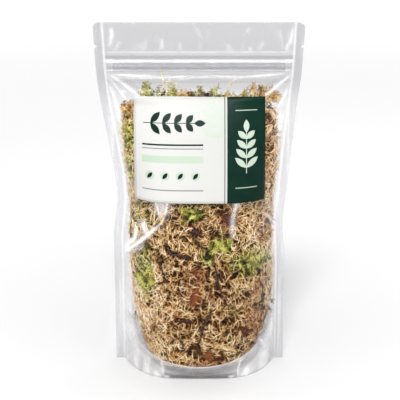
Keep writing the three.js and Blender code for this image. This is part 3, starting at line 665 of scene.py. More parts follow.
class Shader:
    """Short calls that build one material from nodes."""

    def __init__(self, name):
        self.material = bpy.data.materials.new(name)
        self.material.use_nodes = True
        self.tree = self.material.node_tree
        self.tree.nodes.clear()

    def put(self, kind, inputs=(), **settings):
        return add_node(self.tree, kind, inputs, **settings)

    def place(self, stretch=(1, 1, 1)):
        """Object coordinates, stretched."""
        place = self.put("ShaderNodeTexCoord").outputs["Object"]
        if stretch == (1, 1, 1):
            return place
        return self.put("ShaderNodeVectorMath", {0: place, 1: stretch}, operation="MULTIPLY").outputs[0]

    def value(self, name):
        """A number that the piece keeps for each of its points."""
        return self.put("ShaderNodeAttribute", attribute_name=name).outputs["Fac"]

    def vector(self, name):
        return self.put("ShaderNodeAttribute", attribute_name=name).outputs["Vector"]

    def calc(self, operation, *values, clamp=False):
        node = self.put("ShaderNodeMath", dict(enumerate(values)), operation=operation, use_clamp=clamp)
        return node.outputs[0]

    def noise(self, place, scale, detail=3.0, roughness=0.55):
        inputs = {"Vector": place, "Scale": scale, "Detail": detail, "Roughness": roughness}
        return self.put("ShaderNodeTexNoise", inputs).outputs["Fac"]

    def remap(self, value, low, high, to_low=0.0, to_high=1.0):
        return self.put("ShaderNodeMapRange", {0: value, 1: low, 2: high, 3: to_low, 4: to_high}).outputs[0]

    def ramp(self, value, stops):
        """A colour ramp of (place, colour) stops."""
        node = self.put("ShaderNodeValToRGB", {0: value})
        elements = node.color_ramp.elements
        while len(elements) < len(stops):
            elements.new(0.5)
        for element, (at, colour) in zip(elements, stops):
            element.position = at
            element.color = (*colour, 1)
        return node.outputs[0]

    def mix(self, share, first, second):
        """A colour between two, each of them a socket or a plain colour."""
        colours = {0: share}
        for socket, colour in ((6, first), (7, second)):
            colours[socket] = colour if isinstance(colour, bpy.types.NodeSocket) else (*colour, 1)
        return self.put("ShaderNodeMix", colours, data_type="RGBA").outputs[2]

    def bump(self, height, distance, strength=1.0):
        inputs = {"Height": height, "Distance": distance * MM, "Strength": strength}
        return self.put("ShaderNodeBump", inputs).outputs[0]

    def blend(self, share, first, second):
        return self.put("ShaderNodeMixShader", {0: share, 1: first, 2: second}).outputs[0]

    def finish(self, shader):
        self.put("ShaderNodeOutputMaterial", {"Surface": shader})
        return self.material

    def principled(self, **inputs):
        """The main shader, with its inputs named in small letters."""
        names = {key.replace("_", " ").title().replace("Ior", "IOR"): value for key, value in inputs.items()}
        colour = names.get("Base Color")
        if isinstance(colour, tuple):
            names["Base Color"] = (*colour, 1)
        return self.put("ShaderNodeBsdfPrincipled", names).outputs[0]


def film_material(name, tint):
    """Clear film: it shows what is behind it, dimmed in bands and by painted shade, mirrors at a slant, and
    is white along its folds and welds as painted highlight and over its slack parts as painted light.
    """
    s = Shader(name)
    crumple = s.noise(s.place(), 130.0, 1.5)
    streaks = s.noise(s.place((1.0, 1.0, 0.08)), 520.0, 2.0)
    height = s.calc("ADD", s.calc("MULTIPLY", crumple, 0.7), s.calc("MULTIPLY", streaks, 0.25))
    normal = s.bump(height, 0.5, 0.55)
    # dim darkens what shows through: in bands, along the welds, and as painted shade under the base weld.
    through = s.mix(s.value("dim"), tint, tuple(0.80 * c for c in tint))
    clear = s.put("ShaderNodeBsdfTransparent", {"Color": through}).outputs[0]
    mirror = s.put("ShaderNodeBsdfGlossy", {"Roughness": 0.09, "Normal": normal}).outputs[0]
    slant = s.put("ShaderNodeLayerWeight", {"Blend": 0.5, "Normal": normal}).outputs["Facing"]
    share = s.calc("MULTIPLY_ADD", s.calc("POWER", slant, 4.0), 0.5, 0.0022, clamp=True)
    sheet = s.blend(share, clear, mirror)
    # The white that is mixed in: painted highlight along folds, lines and welds, and painted light over the
    # slack film.
    white = s.principled(base_color=(0.93, 0.93, 0.94), roughness=0.55, specular_ior_level=0.25)
    patchy = s.remap(s.noise(s.place(), 60.0, 2.0), 0.3, 0.7, 0.6, 1.15)
    whiteness = s.calc("MULTIPLY", s.value("white"), patchy, clamp=True)
    return s.finish(s.blend(whiteness, sheet, white))


def zip_material(colour):
    """Milky strip of the zip, a little denser along its length."""
    s = Shader("zip strip")
    lines = s.noise(s.place((0.05, 1.0, 1.0)), 900.0, 2.0)
    normal = s.bump(lines, 0.2, 0.4)
    clear = s.put("ShaderNodeBsdfTransparent", {"Color": (0.95, 0.95, 0.96, 1)}).outputs[0]
    milky = s.principled(base_color=colour, roughness=0.28, normal=normal)
    return s.finish(s.blend(s.remap(lines, 0.3, 0.7, 0.22, 0.38), clear, milky))


STRAW_STOPS = (
    (0.0, (0.022, 0.007, 0.003)), (0.2, (0.145, 0.056, 0.016)), (0.42, (0.57, 0.30, 0.092)),
    (0.66, (0.87, 0.56, 0.24)), (1.0, (1.0, 0.88, 0.64)),
)
GREEN_STOPS = (
    (0.0, (0.008, 0.012, 0.003)), (0.3, (0.042, 0.056, 0.008)), (0.6, (0.24, 0.26, 0.024)),
    (1.0, (0.74, 0.71, 0.19)),
)
RUST_STOPS = ((0.0, (0.05, 0.012, 0.007)), (0.4, (0.34, 0.115, 0.04)), (1.0, (0.78, 0.42, 0.19)))
# The packed moss's colours are nearly black: painted shade between the stems.
PACKED_STOPS = ((0.34, (0.007, 0.003, 0.002)), (0.54, (0.038, 0.019, 0.008)), (0.76, (0.16, 0.09, 0.038)))
BARK_STOPS = ((0.3, (0.016, 0.006, 0.005)), (0.55, (0.050, 0.020, 0.014)), (0.8, (0.15, 0.075, 0.05)))
LEAF_STOPS = (
    (0.25, (0.010, 0.003, 0.001)), (0.45, (0.060, 0.013, 0.004)), (0.65, (0.17, 0.046, 0.011)),
    (0.9, (0.34, 0.125, 0.033)),
)


def moss_material(name, greenness=0.0):
    """Moss stems: each has its own shade of straw, green or rust, mottled along its length, with painted
    shade on the ones that lie deep, in hollows and in dark gaps.
    """
    s = Shader(name)
    root = s.vector("root")
    patch = s.noise(root, 38.0, 2.0)
    mottle = s.noise(s.place(), 700.0, 2.0)
    shade = s.calc("MULTIPLY_ADD", s.value("tint"), 0.85, s.calc("MULTIPLY", patch, 0.45))
    shade = s.calc("MULTIPLY_ADD", mottle, 0.3, s.calc("ADD", shade, -0.012))
    # Painted shade: darker the deeper a stem lies, and in hollows and dark gaps.
    shade = s.calc("SUBTRACT", shade, s.calc("MULTIPLY", s.value("sunk"), 0.88))
    drawn = s.noise(root, 2300.0, 0.0)  # one random number for each stem, apart from its tint
    drawn = s.calc("SUBTRACT", drawn, 0.5)
    wide = s.calc("MULTIPLY_ADD", s.remap(s.noise(root, 30.0, 3.0), 0.5, 0.72), 0.35, greenness)
    green = s.calc("MULTIPLY_ADD", s.value("green"), 0.72, wide)
    green = s.calc("MULTIPLY_ADD", drawn, 2.0, green)
    rust = s.calc("MULTIPLY_ADD", drawn, -2.0, s.value("rust"))
    colour = s.mix(s.remap(rust, 0.4, 0.7), s.ramp(shade, STRAW_STOPS), s.ramp(shade, RUST_STOPS))
    colour = s.mix(s.remap(green, 0.42, 0.75), colour, s.ramp(shade, GREEN_STOPS))
    normal = s.bump(mottle, 0.3, 0.5)
    return s.finish(s.principled(base_color=colour, roughness=0.72, specular_ior_level=0.15, normal=normal))


def packed_material():
    """The packed moss between the outer stems, coloured nearly black as painted shade."""
    s = Shader("packed moss")
    fibres = s.noise(s.place(), 420.0, 6.0, 0.7)
    patches = s.noise(s.place(), 45.0, 3.0)
    shade = s.calc("MULTIPLY_ADD", patches, 0.4, s.calc("MULTIPLY", fibres, 0.7))
    colour = s.ramp(shade, PACKED_STOPS)
    normal = s.bump(fibres, 1.2)
    return s.finish(s.principled(base_color=colour, roughness=0.95, specular_ior_level=0.1, normal=normal))


def bark_material():
    """Dark, ridged bark."""
    s = Shader("twig bark")
    ridges = s.noise(s.place((1.0, 1.0, 0.35)), 900.0, 5.0, 0.65)
    colour = s.ramp(ridges, BARK_STOPS)
    return s.finish(s.principled(base_color=colour, roughness=0.7, normal=s.bump(ridges, 0.5)))


def scrap_material():
    """Dry red-brown leaf with a paler middle vein."""
    s = Shader("dry leaf")
    mottle = s.noise(s.place(), 260.0, 5.0, 0.6)
    shade = s.calc("MULTIPLY_ADD", s.value("tint"), 0.4, s.calc("MULTIPLY", mottle, 0.6))
    vein = s.calc("MULTIPLY", s.value("vein"), 0.2)
    colour = s.mix(vein, s.ramp(shade, LEAF_STOPS), (0.26, 0.10, 0.03))
    normal = s.bump(mottle, 0.6)
    return s.finish(s.principled(base_color=colour, roughness=0.6, specular_ior_level=0.2, normal=normal))


def heading(degrees):
    """A step of 1 in a direction."""
    turn = math.radians(degrees)
    return np.array([math.cos(turn), math.sin(turn)])


class LabelPrint(Shader):
    """The label's print, drawn in millimetres from its lower left corner."""

    def __init__(self, width, height, paper):
        super().__init__("printed label")
        uv = self.put("ShaderNodeUVMap", uv_map="label").outputs[0]
        size = (width, height, 1)
        self.spot = self.put("ShaderNodeVectorMath", {0: uv, 1: size}, operation="MULTIPLY").outputs[0]
        grain = self.noise(self.place(), 900.0, 2.0)
        across, up, _ = self.put("ShaderNodeSeparateXYZ", {0: uv}).outputs
        # Painted light and shade: the paper is lighter towards its lower left and darker towards its upper
        # right.
        painted_shading = self.calc("MULTIPLY_ADD", across, 0.65, self.calc("MULTIPLY", up, 0.5))
        paper = self.mix(painted_shading, tuple(1.11 * c for c in paper), tuple(0.83 * c for c in paper))
        self.colour = self.mix(self.remap(grain, 0.3, 0.7, 0.0, 0.25), paper, (0.41, 0.41, 0.40))

    def print(self, mask, colour, strength=1.0):
        """Prints a colour over what is there, where the mask is 1."""
        share = mask if strength == 1.0 else self.calc("MULTIPLY", mask, strength)
        self.colour = self.mix(share, self.colour, colour)

    def local(self, x, y, turn, length, width):
        """Places about a shape's middle, turned, as shares of its half length and half width."""
        inputs = {"Vector": self.spot, "Location": (x, y, 0), "Rotation": (0, 0, math.radians(turn))}
        inputs["Scale"] = (length / 2, width / 2, 1)
        node = self.put("ShaderNodeMapping", inputs, vector_type="TEXTURE")
        u, v, _ = self.put("ShaderNodeSeparateXYZ", {0: node.outputs[0]}).outputs
        return self.calc("ABSOLUTE", u), self.calc("ABSOLUTE", v)

    def bar(self, x, y, length, width, turn=0.0):
        u, v = self.local(x, y, turn, length, width)
        return self.calc("LESS_THAN", self.calc("MAXIMUM", u, v), 1.0)

    def leaf(self, x, y, turn, length, width):
        u, v = self.local(x, y, turn, length, width)
        return self.calc("LESS_THAN", self.calc("MULTIPLY_ADD", u, u, v), 1.0)

    def dot(self, x, y, across):
        u, v = self.local(x, y, 0.0, across, across)
        return self.calc("LESS_THAN", self.calc("MULTIPLY_ADD", u, u, self.calc("MULTIPLY", v, v)), 1.0)

    def sprig(self, x, y, turn, length, pairs, leaf_length, leaf_width, colour, strength=1.0):
        """A stem with pairs of plain leaves and one at its tip."""
        foot, ahead = np.array([x, y]), heading(turn)
        self.print(self.bar(*(foot + ahead * length / 2), length, 0.7, turn), colour, strength)
        for k in range(pairs):
            root = foot + ahead * length * (k + 0.6) / (pairs + 0.4)
            size = leaf_length * (1 - 0.35 * k / pairs)
            for lean in (-48, 48):
                middle = root + heading(turn + lean) * size / 2
                self.print(self.leaf(*middle, turn + lean, size, leaf_width), colour, strength)
        tip = foot + ahead * (length + leaf_length * 0.3)
        self.print(self.leaf(*tip, turn, leaf_length * 0.8, leaf_width), colour, strength)


def label_material(settings):
    """A plain label: warm white paper, a dark strip with a pale sprig, rules and leaves."""
    width, height = 2 * LABEL_HALF_WIDTH, LABEL_TOP - LABEL_BOTTOM
    s = LabelPrint(width, height, tuple(settings.paper))
    strip, leaf = tuple(settings.strip), tuple(settings.leaf)
    cream, pale = (0.36, 0.35, 0.29), (0.35, 0.415, 0.335)

    outer, inner = (s.bar(width / 2, height / 2, width - inset, height - inset) for inset in (3.4, 4.6))
    s.print(s.calc("SUBTRACT", outer, inner), cream, 0.8)
    s.sprig(78, 54, 100, length=30, pairs=3, leaf_length=17, leaf_width=7, colour=pale, strength=0.55)

    strip_left = 0.71 * width
    strip_middle = (strip_left + width) / 2
    mottle = s.noise(s.place(), 90.0, 4.0)
    dark = s.mix(s.remap(mottle, 0.35, 0.7, 0.0, 0.6), strip, (0.0022, 0.022, 0.014))
    s.print(s.bar(strip_middle, height / 2, width - strip_left, height + 1), dark)
    s.print(s.bar(strip_left - 2.2, height / 2, 0.8, height + 1), strip, 0.9)
    s.sprig(strip_middle, 27, 90, length=38, pairs=4, leaf_length=14, leaf_width=5.2,
            colour=leaf, strength=0.9)
    for y in (14, 83):
        s.print(s.bar(strip_middle, y, 20, 0.8), leaf, 0.8)

    s.sprig(9, 72, 0, length=48, pairs=4, leaf_length=13, leaf_width=5.6, colour=strip)
    rules = ((53, 1.5, strip, 1.0), (49.6, 0.8, strip, 0.7), (40, 6.4, pale, 1.0), (12, 1.1, strip, 0.6))
    for y, thickness, colour, strength in rules:
        s.print(s.bar(36, y, 56, thickness), colour, strength)
    for x in (15, 29, 43, 57):
        s.print(s.dot(x, 25, 8.2), pale)
        s.print(s.leaf(x, 25, 50, 7.2, 3.4), strip)
    normal = s.bump(s.noise(s.place(), 70.0, 2.0), 0.35, 0.5)
    return s.finish(s.principled(base_color=s.colour, roughness=0.42, specular_ior_level=0.08, normal=normal))


def floor_material(colour):
    """Pale, smooth board with a faint mottle and a painted glow: faint close round the pouch, stronger
    further out, and raised behind the pouch to lighten its shadow there.
    """
    s = Shader("studio floor")
    mottle = s.noise(s.place(), 3.0, 3.0)
    shade = s.mix(s.remap(mottle, 0.3, 0.7, 0.0, 0.3), tuple(colour), tuple(0.985 * c for c in colour))
    away = s.put("ShaderNodeVectorMath", {0: s.place()}, operation="LENGTH").outputs["Value"]
    # Painted light and shade: the glow grows with distance, so the floor stays darker close round the pouch.
    reaches = ((0.05, 0.095, 0.03, 0.15), (0.095, 0.6, 0.0, 0.28), (0.6, 3.0, 0.0, 0.18))
    near, middle, far = (s.remap(away, *reach) for reach in reaches)
    glow = s.calc("ADD", near, s.calc("ADD", middle, far))
    x, y, _ = s.put("ShaderNodeSeparateXYZ", {0: s.place()}).outputs
    beside = s.remap(s.calc("ABSOLUTE", x), 0.066, 0.1, 1.0, 0.0)
    # Painted light: more glow behind the pouch, where its shadow falls.
    behind = s.calc("MULTIPLY", s.remap(y, -0.01, 0.07, 0.0, 0.17), beside)
    glow = s.calc("MULTIPLY_ADD", behind, s.remap(away, 0.2, 0.5, 1.0, 0.0), glow)
    lit = s.principled(base_color=shade, roughness=0.6, emission_color=(1, 1, 1, 1), emission_strength=glow)
    return s.finish(lit)


# ---------------------------------------------------------------- the pouch
FILM_ROWS = {FRONT: 214, BACK: 122}
FILM_COLUMNS = {FRONT: 112, BACK: 72}
SEAL_COLUMNS = 5
GUSSET_TINT = (0.996, 0.995, 0.997)  # share of each colour that one face of the gusset lets through


def panel_rows(count):
    """Heights of a panel's rows, closer together over the zip and in the header."""
    body_top, zip_top = 274, 298
    body_share, zip_share = 0.72, 0.57  # of all the rows, and of the ones that the body leaves
    share = np.linspace(0, 1, count)
    body = share[share < body_share] / body_share * body_top
    rest = count - len(body)
    over_zip = np.linspace(body_top + 1, zip_top, int(rest * zip_share))
    header = np.linspace(zip_top + 1.2, POUCH_HEIGHT, rest - len(over_zip))
    return np.concatenate([body, over_zip, header])


def panel_grid(side):
    """Middle surface of a panel, with its columns in order as seen from outside."""
    z = panel_rows(FILM_ROWS[side])[:, None]
    t = np.linspace(-1, 1, FILM_COLUMNS[side])
    inner = 0.72 * t + 0.28 * np.sin(t * np.pi / 2)  # closer together towards the welds
    weld = np.arange(1, SEAL_COLUMNS + 1) / SEAL_COLUMNS
    left, right = along(LEFT_EDGE, z), along(RIGHT_EDGE, z)
    middle = (left - SEAL_WIDTH) * np.minimum(inner, 0) + (right - SEAL_WIDTH) * np.maximum(inner, 0)
    down = np.maximum(z - (POUCH_HEIGHT - CORNER_RADIUS), 0)
    inset = CORNER_RADIUS - np.sqrt(np.maximum(CORNER_RADIUS**2 - down**2, 0))
    inset = inset + np.maximum(NOTCH_DEPTH - 2 * np.abs(z - NOTCH_Z), 0)
    seal = SEAL_WIDTH - inset
    x = np.hstack([-(left - SEAL_WIDTH) - seal * weld[::-1], middle, (right - SEAL_WIDTH) + seal * weld])
    z = np.broadcast_to(z, x.shape)
    out, white, dim = film_relief(x, z, side)
    depth = np.maximum(FILM_APART + bulge(x, z) + out, FILM_APART)
    sway = 0.5 * ripple(0 * x, z, 40, 34, 71) * step(0, -3, half_width(x, z) - SEAL_WIDTH - np.abs(x))
    grid = np.stack([x, side * depth + sway, z], axis=2)
    if side == BACK:
        return grid[:, ::-1], white[:, ::-1], dim[:, ::-1]
    return grid, white, dim


def label_grid(rows=44, columns=54):
    """Middle surface of the label, which lies on the front film, with its UV places."""
    u, v = np.meshgrid(np.linspace(0, 1, columns), np.linspace(0, 1, rows))
    x = LABEL_SHIFT + LABEL_HALF_WIDTH * (2 * u - 1)
    z = LABEL_BOTTOM + (LABEL_TOP - LABEL_BOTTOM) * v
    z = z - 0.8 * step(0.8, 1, v) * (1 - (2 * u - 1) ** 2) * step(0.2, 0.8, u)  # a slight dip at the top
    depth = FILM_APART + bulge(x, z) + film_relief(x, z, FRONT)[0]
    return np.stack([x, -depth, z], axis=2), u, v


def gusset_grid(columns=66, lip_rows=10, floor_rows=28):
    """Middle surface of the base gusset: up inside the front, across under the moss, down the back."""
    x = GUSSET_HALF_WIDTH * np.sin(np.linspace(-1, 1, columns) * np.pi / 2)
    height = weld_height(x)
    inward = 0.75  # from the panel's film to the gusset's
    rise = FILM_LIFT + (height - FILM_LIFT) * np.linspace(0.02, 0.96, lip_rows)[:, None]
    lip = FILM_APART + bulge(x, rise) - inward * (1 + 0.5 * (np.abs(x) / GUSSET_HALF_WIDTH) ** 2)
    front = np.stack([np.broadcast_to(x, lip.shape), -lip, rise], axis=2)
    back = front[::-1] * (1, -1, 1)
    share = 2 * np.linspace(0, 1, floor_rows)[:, None] - 1
    y = (FILM_APART + bulge(x, height) - inward * 1.2) * share
    z = sagged(height, share)
    z = z + 0.5 * ripple(x, y, 14, 17, 91) * (1 - share**4) * step(1, 4, z)
    floor = np.stack([np.broadcast_to(x, y.shape), y, z], axis=2)
    return np.concatenate([front, floor, back])


def zip_section(side):
    """Outline in (distance out from the middle plane, height) of one track, from its top down."""
    face, strip = 1.25, 0.95
    outline = [(face, 0), (face + 0.05, ZIP_HEIGHT / 2), (face, ZIP_HEIGHT), (strip, ZIP_HEIGHT)]
    for rib in (7.8, 3.2):
        if side == FRONT:  # a stem with a rounded head
            upper, tip = [(strip, 0.25), (0.2, 0.25), (0.1, 0.42), (-0.25, 0.3)], [(-0.4, 0)]
        else:  # two hooks that hold the head
            upper, tip = [(strip, 0.95), (0.0, 0.95), (-0.1, 0.78), (0.0, 0.62), (strip, 0.62)], []
        lower = [(out, -up) for out, up in reversed(upper)]
        outline += [(out, rib + up) for out, up in upper + tip + lower]
    return outline + [(strip, 0)]


def build_film(settings):
    """Makes the front and back panels."""
    clear = film_material("clear film", tuple(settings.film_tint))
    for side, word in SIDES.items():
        grid, white, dim = panel_grid(side)
        piece = make_object(f"{word}_panel", *shell(grid, settings.film_thickness / MM))
        keep_on_shell(piece, white=white, dim=dim)
        place_piece(piece, clear, "film", f"pouch_{word}_film")


def build_gusset(settings):
    """Makes the base gusset."""
    grid = gusset_grid()
    piece = make_object("base_gusset", *shell(grid, settings.film_thickness / MM))
    x, y, z = grid[..., 0], grid[..., 1], grid[..., 2]
    # Painted highlight along the weld line and on the creases, and painted shade under the weld at the front.
    weld = np.exp(-(((z - weld_height(x)) / 0.9) ** 2))
    creases = 0.25 * np.maximum(ripple(x, y, 9, 13, 95), 0)
    keep_on_shell(piece, white=0.22 * weld + creases * 0.6, dim=base_shade(x, z) * (y < 0))
    place_piece(piece, film_material("gusset film", GUSSET_TINT), "film", "pouch_base_gusset")


def build_zip(settings):
    """Makes the zip's two tracks as long sections."""
    material = zip_material(tuple(settings.zip_colour))
    stations = 60
    along_x = np.linspace(-ZIP_LENGTH / 2, ZIP_LENGTH / 2, stations)
    pinch = 1 - 0.12 * step(0.9, 1, np.abs(along_x) / (ZIP_LENGTH / 2))
    for side, name in ((FRONT, "zip_ribs"), (BACK, "zip_hooks")):
        outline = zip_section(side)
        points = [(x, side * d * p, ZIP_BOTTOM + z) for x, p in zip(along_x, pinch) for d, z in outline]
        count = len(outline)
        faces = grid_faces(stations, count, around=True)
        ends = [tuple(range(count)), tuple(range(stations * count - 1, (stations - 1) * count - 1, -1))]
        faces = flipped(faces) + ends if side == FRONT else faces + flipped(ends)
        piece = make_object(name, points, faces, smooth=False)
        place_piece(piece, material, "zip", f"zip_{SIDES[side]}_track")


def build_label(settings):
    """Makes the label on the front film."""
    grid, u, v = label_grid()
    thickness, gap = 0.2, 0.2
    points, faces = shell(grid, thickness)
    normal = points[: u.size] - points[u.size :]
    normal /= np.linalg.norm(normal, axis=1, keepdims=True)
    points = points + np.tile(normal, (2, 1)) * (thickness / 2 + gap)
    piece = make_object("label", points, faces)
    layer = piece.data.uv_layers.new(name="label")
    uv = np.tile(np.stack([u.ravel(), v.ravel()], axis=1), (2, 1))
    corners = np.empty(len(piece.data.loops), np.int32)
    piece.data.loops.foreach_get("vertex_index", corners)
    layer.data.foreach_set("uv", uv[corners].astype(np.float32).ravel())
    place_piece(piece, label_material(settings), "label", "front_label")


# ---------------------------------------------------------------- the moss
# Patches as (x, z, half width, half height, strength), where a strength that isn't given is 1.
GREEN_PATCHES = {
    FRONT: [
        (-68, 212, 9, 52, 0.9), (-6, 158, 13, 12, 1.0), (20, 132, 12, 8, 1.0), (8, 118, 9, 8, 0.9),
        (47, 108, 22, 14, 0.95), (-50, 96, 9, 26, 0.85), (-68, 132, 5, 13, 1.0), (-50, 268, 12, 10, 0.9),
        (-52, 155, 14, 14, 0.6), (36, 122, 16, 10, 0.5), (74, 118, 5, 12, 0.6), (10, 266, 60, 5, 0.5),
        (30, 60, 8, 6, 0.5),
    ],
    BACK: [
        (38, 150, 20, 15, 1.0), (-34, 86, 22, 16, 1.0), (30, 232, 18, 16, 0.9), (-40, 205, 14, 18, 0.7),
        (10, 40, 16, 8, 0.6), (60, 84, 8, 24, 0.7), (-10, 264, 50, 6, 0.5), (-62, 150, 6, 20, 0.8),
    ],
}
RUST_PATCHES = {
    FRONT: [
        (66, 190, 12, 52, 0.38), (64, 140, 16, 16, 0.55), (-4, 100, 14, 9, 0.8), (-2, 78, 15, 12, 0.6),
        (-16, 56, 9, 12, 0.6), (54, 46, 14, 16, 0.65), (56, 82, 10, 9, 0.6), (12, 12, 22, 8, 0.6),
        (-70, 250, 8, 12, 0.6), (26, 152, 10, 12, 0.7), (-2, 141, 12, 9, 0.5), (-60, 26, 14, 12, 0.45),
        (-16, 152, 7, 9, 0.5), (68, 255, 10, 14, 0.35),
    ],
    BACK: [
        (-24, 134, 16, 14, 0.7), (28, 190, 18, 14, 0.6), (-8, 52, 20, 14, 0.65), (-56, 230, 12, 20, 0.5),
        (58, 34, 16, 16, 0.6), (-50, 30, 14, 12, 0.5), (2, 220, 12, 10, 0.4),
    ],
}
PALE_PATCHES = {
    FRONT: [
        (-58, 54, 13, 38, 1.5), (-36, 24, 20, 16, 0.8), (-38, 138, 26, 10, 0.8), (24, 34, 22, 14, 0.5),
        (34, 118, 30, 6, 0.7), (-58, 182, 10, 24, 0.8), (58, 140, 19, 34, 1.0), (-64, 110, 8, 12, 0.8),
        (-44, 64, 12, 14, 0.5), (-72, 205, 7, 48, 1.3), (-4, 20, 11, 11, 0.7), (14, 62, 10, 12, 0.4),
        (70, 96, 6, 16, 0.6),
    ],
    BACK: [
        (-50, 60, 16, 30, 0.9), (10, 140, 24, 16, 0.7), (50, 180, 16, 20, 0.7), (-20, 30, 24, 12, 0.6),
        (-44, 180, 16, 16, 0.6),
    ],
}
# Dark gaps: stems there are pushed in and given painted shade.
DARK_GAPS = {
    FRONT: [
        (13, 141, 4, 5), (-37, 113, 4, 5), (24, 107, 4, 5), (44, 77, 6, 4), (18, 82, 3, 7), (-14, 41, 5, 4),
        (4, 74, 3, 3), (-18, 163, 5, 6), (38, 30, 5, 3), (22, 158, 8, 4), (6, 60, 3, 4), (-40, 46, 5, 3),
        (62, 60, 4, 8), (26, 44, 4, 3), (8, 118, 4, 3), (-48, 124, 5, 4), (54, 98, 5, 4), (-20, 84, 4, 3),
        (45, 52, 20, 28, 0.4),
    ],
    BACK: [
        (-10, 178, 7, 6), (20, 110, 6, 6), (-30, 60, 6, 5), (40, 210, 6, 5), (-50, 120, 5, 6),
        (8, 70, 5, 5), (50, 60, 5, 6), (-14, 236, 7, 5),
    ],
}


def moss_depth(x, z, inset=0):
    """Distance from the middle plane to the moss's surface, where it fills the pouch from side to side."""
    crown = np.minimum(1, (CROWN_TOP - z) / CROWN_HEIGHT)
    return np.maximum(bulge(x, z) - FILM_CLEAR - inset, LEAST_DEPTH) * crown


def moss_point(angle, z, inset):
    """A point of the moss at an angle round it, from +X by way of the back, a height and an inset."""
    x = (moss_reach(np.cos(angle), z) - inset) * np.cos(angle)
    round_side = np.sign(np.sin(angle)) * np.abs(np.sin(angle)) ** MOSS_BOXINESS
    return np.stack([x, round_side * moss_depth(x, z, inset), z + 0 * x], axis=-1)


def moss_skin(inset, around=120, rows=110):
    """Points and faces of a closed skin at an inset from the moss's outside."""
    angle = np.linspace(0, 2 * np.pi, around, endpoint=False)
    angle = angle - np.sin(2 * angle) / 2  # closer together where the moss turns at its sides
    share = (1 - np.cos(np.linspace(0, np.pi, rows))) / 2
    z = MOSS_BOTTOM + inset + (MOSS_TOP - MOSS_BOTTOM - 1.5 * inset) * share
    rings = moss_point(angle[None], z[:, None], inset)
    points = np.vstack([rings.reshape(-1, 3), [(0, 0, z[0]), (0, 0, z[-1])]])
    low, high, top = rows * around, rows * around + 1, (rows - 1) * around
    faces = grid_faces(rows, around, around=True)
    faces += [(low, (k + 1) % around, k) for k in range(around)]
    faces += [(high, top + k, top + (k + 1) % around) for k in range(around)]
    return points, faces


def surface_point(x, z, side, inset):
    """A point of the moss's surface seen at x, z, at an inset from its outside."""
    share = x / (moss_reach(x, z) - inset)
    return moss_point(side * np.arccos(np.clip(share, -0.98, 0.98)), np.asarray(z, float), inset)


def depth_in(points):
    """About how far inside the moss's outside each point lies."""
    x, y, z = np.abs(points[:, 0]), np.abs(points[:, 1]), points[:, 2]
    height = np.clip(z, MOSS_BOTTOM, MOSS_TOP)
    side, reach = np.sign(points[:, 0]), moss_reach(points[:, 0], height)

    def outside(x):
        return moss_depth(side * x, height) * np.maximum(1 - (x / reach) ** 2, 0) ** (MOSS_BOXINESS / 2)

    slope = outside(x) - outside(x + 1)
    slant = (outside(x) - y) / np.sqrt(1 + slope**2)
    return np.minimum(np.minimum(slant, reach - x), MOSS_TOP + 2 - z)


def patch_strength(patches, x, z):
    """Greatest strength of the patches at each place."""
    strength = np.zeros(np.shape(x))
    for px, pz, across, up, *most in patches:
        distance = ((x - px) / across) ** 2 + ((z - pz) / up) ** 2
        strength = np.maximum(strength, (most[0] if most else 1.0) * step(1.5, 0.35, distance))
    return strength


def both_sides(patches, root):
    """Strength of the patches of the side that each place is on."""
    front = patch_strength(patches[FRONT], root[:, 0], root[:, 2])
    return np.where(root[:, 1] < 0, front, patch_strength(patches[BACK], root[:, 0], root[:, 2]))


def soft_floor(value, softness=0.7):
    """The value where it is well above 0, eased so that it never falls below 0."""
    share = value / softness
    straight = 20  # the curve has met its straight line by here
    return softness * np.where(share > straight, share, np.log1p(np.exp(np.minimum(share, straight))))


def pressed_in(points, clear=0.55):
    """Points moved inside the film and above the base, keeping their order in depth."""
    x, y, z = points.T
    side_clear, base_clear = 0.5, 0.4
    room = film_depth(x, y, z) - clear - side_clear * (np.abs(x) / 75) ** 4
    y = np.sign(y) * np.maximum(room - soft_floor(room - np.abs(y)), 0)
    lowest = floor_height(x, y) + base_clear
    return np.stack([x, y, lowest + soft_floor(z - lowest)], axis=1)


# How far stems are pushed in under a twig and a scrap, in a hollow and in a dark gap.
TWIG_WAY, SCRAP_WAY, HOLLOW_DEPTH, GAP_DEPTH = 2.2, 1.3, 1.5, 0.9
LIT_DEPTH, FADE_DEPTH = 1.0, 3.6  # stems are fully lit down to here, and darken over the next stretch


def settled_top(points):
    """Points with the moss's top let down unevenly."""
    x, y, z = points.T
    least, uneven = 2.5, 7 * step(-0.6, 0.7, ripple(x, y, 8, 7, 77))
    drop = (least + uneven) * step(240, MOSS_TOP, z)
    return np.stack([x, y, z - drop], axis=1)


def make_way(points):
    """How far each point is pushed in under the twigs and scraps that lie over it."""
    x, y, z = points.T
    side = np.where(y < 0, FRONT, BACK)
    push = np.zeros(len(points))
    for path, radius, where in TWIGS:
        push = np.maximum(push, TWIG_WAY * nearness(x, z, path, radius, fade=0) * (side == where))
    for px, pz, length, width, turn, where in SCRAPS:
        right, up = heading(turn)
        across, onward = (x - px) * right + (z - pz) * up, (z - pz) * right - (x - px) * up
        distance = (2 * across / width) ** 2 + (2 * onward / length) ** 2
        push = np.maximum(push, SCRAP_WAY * step(1, 0.55, distance) * (side == where))
    return push


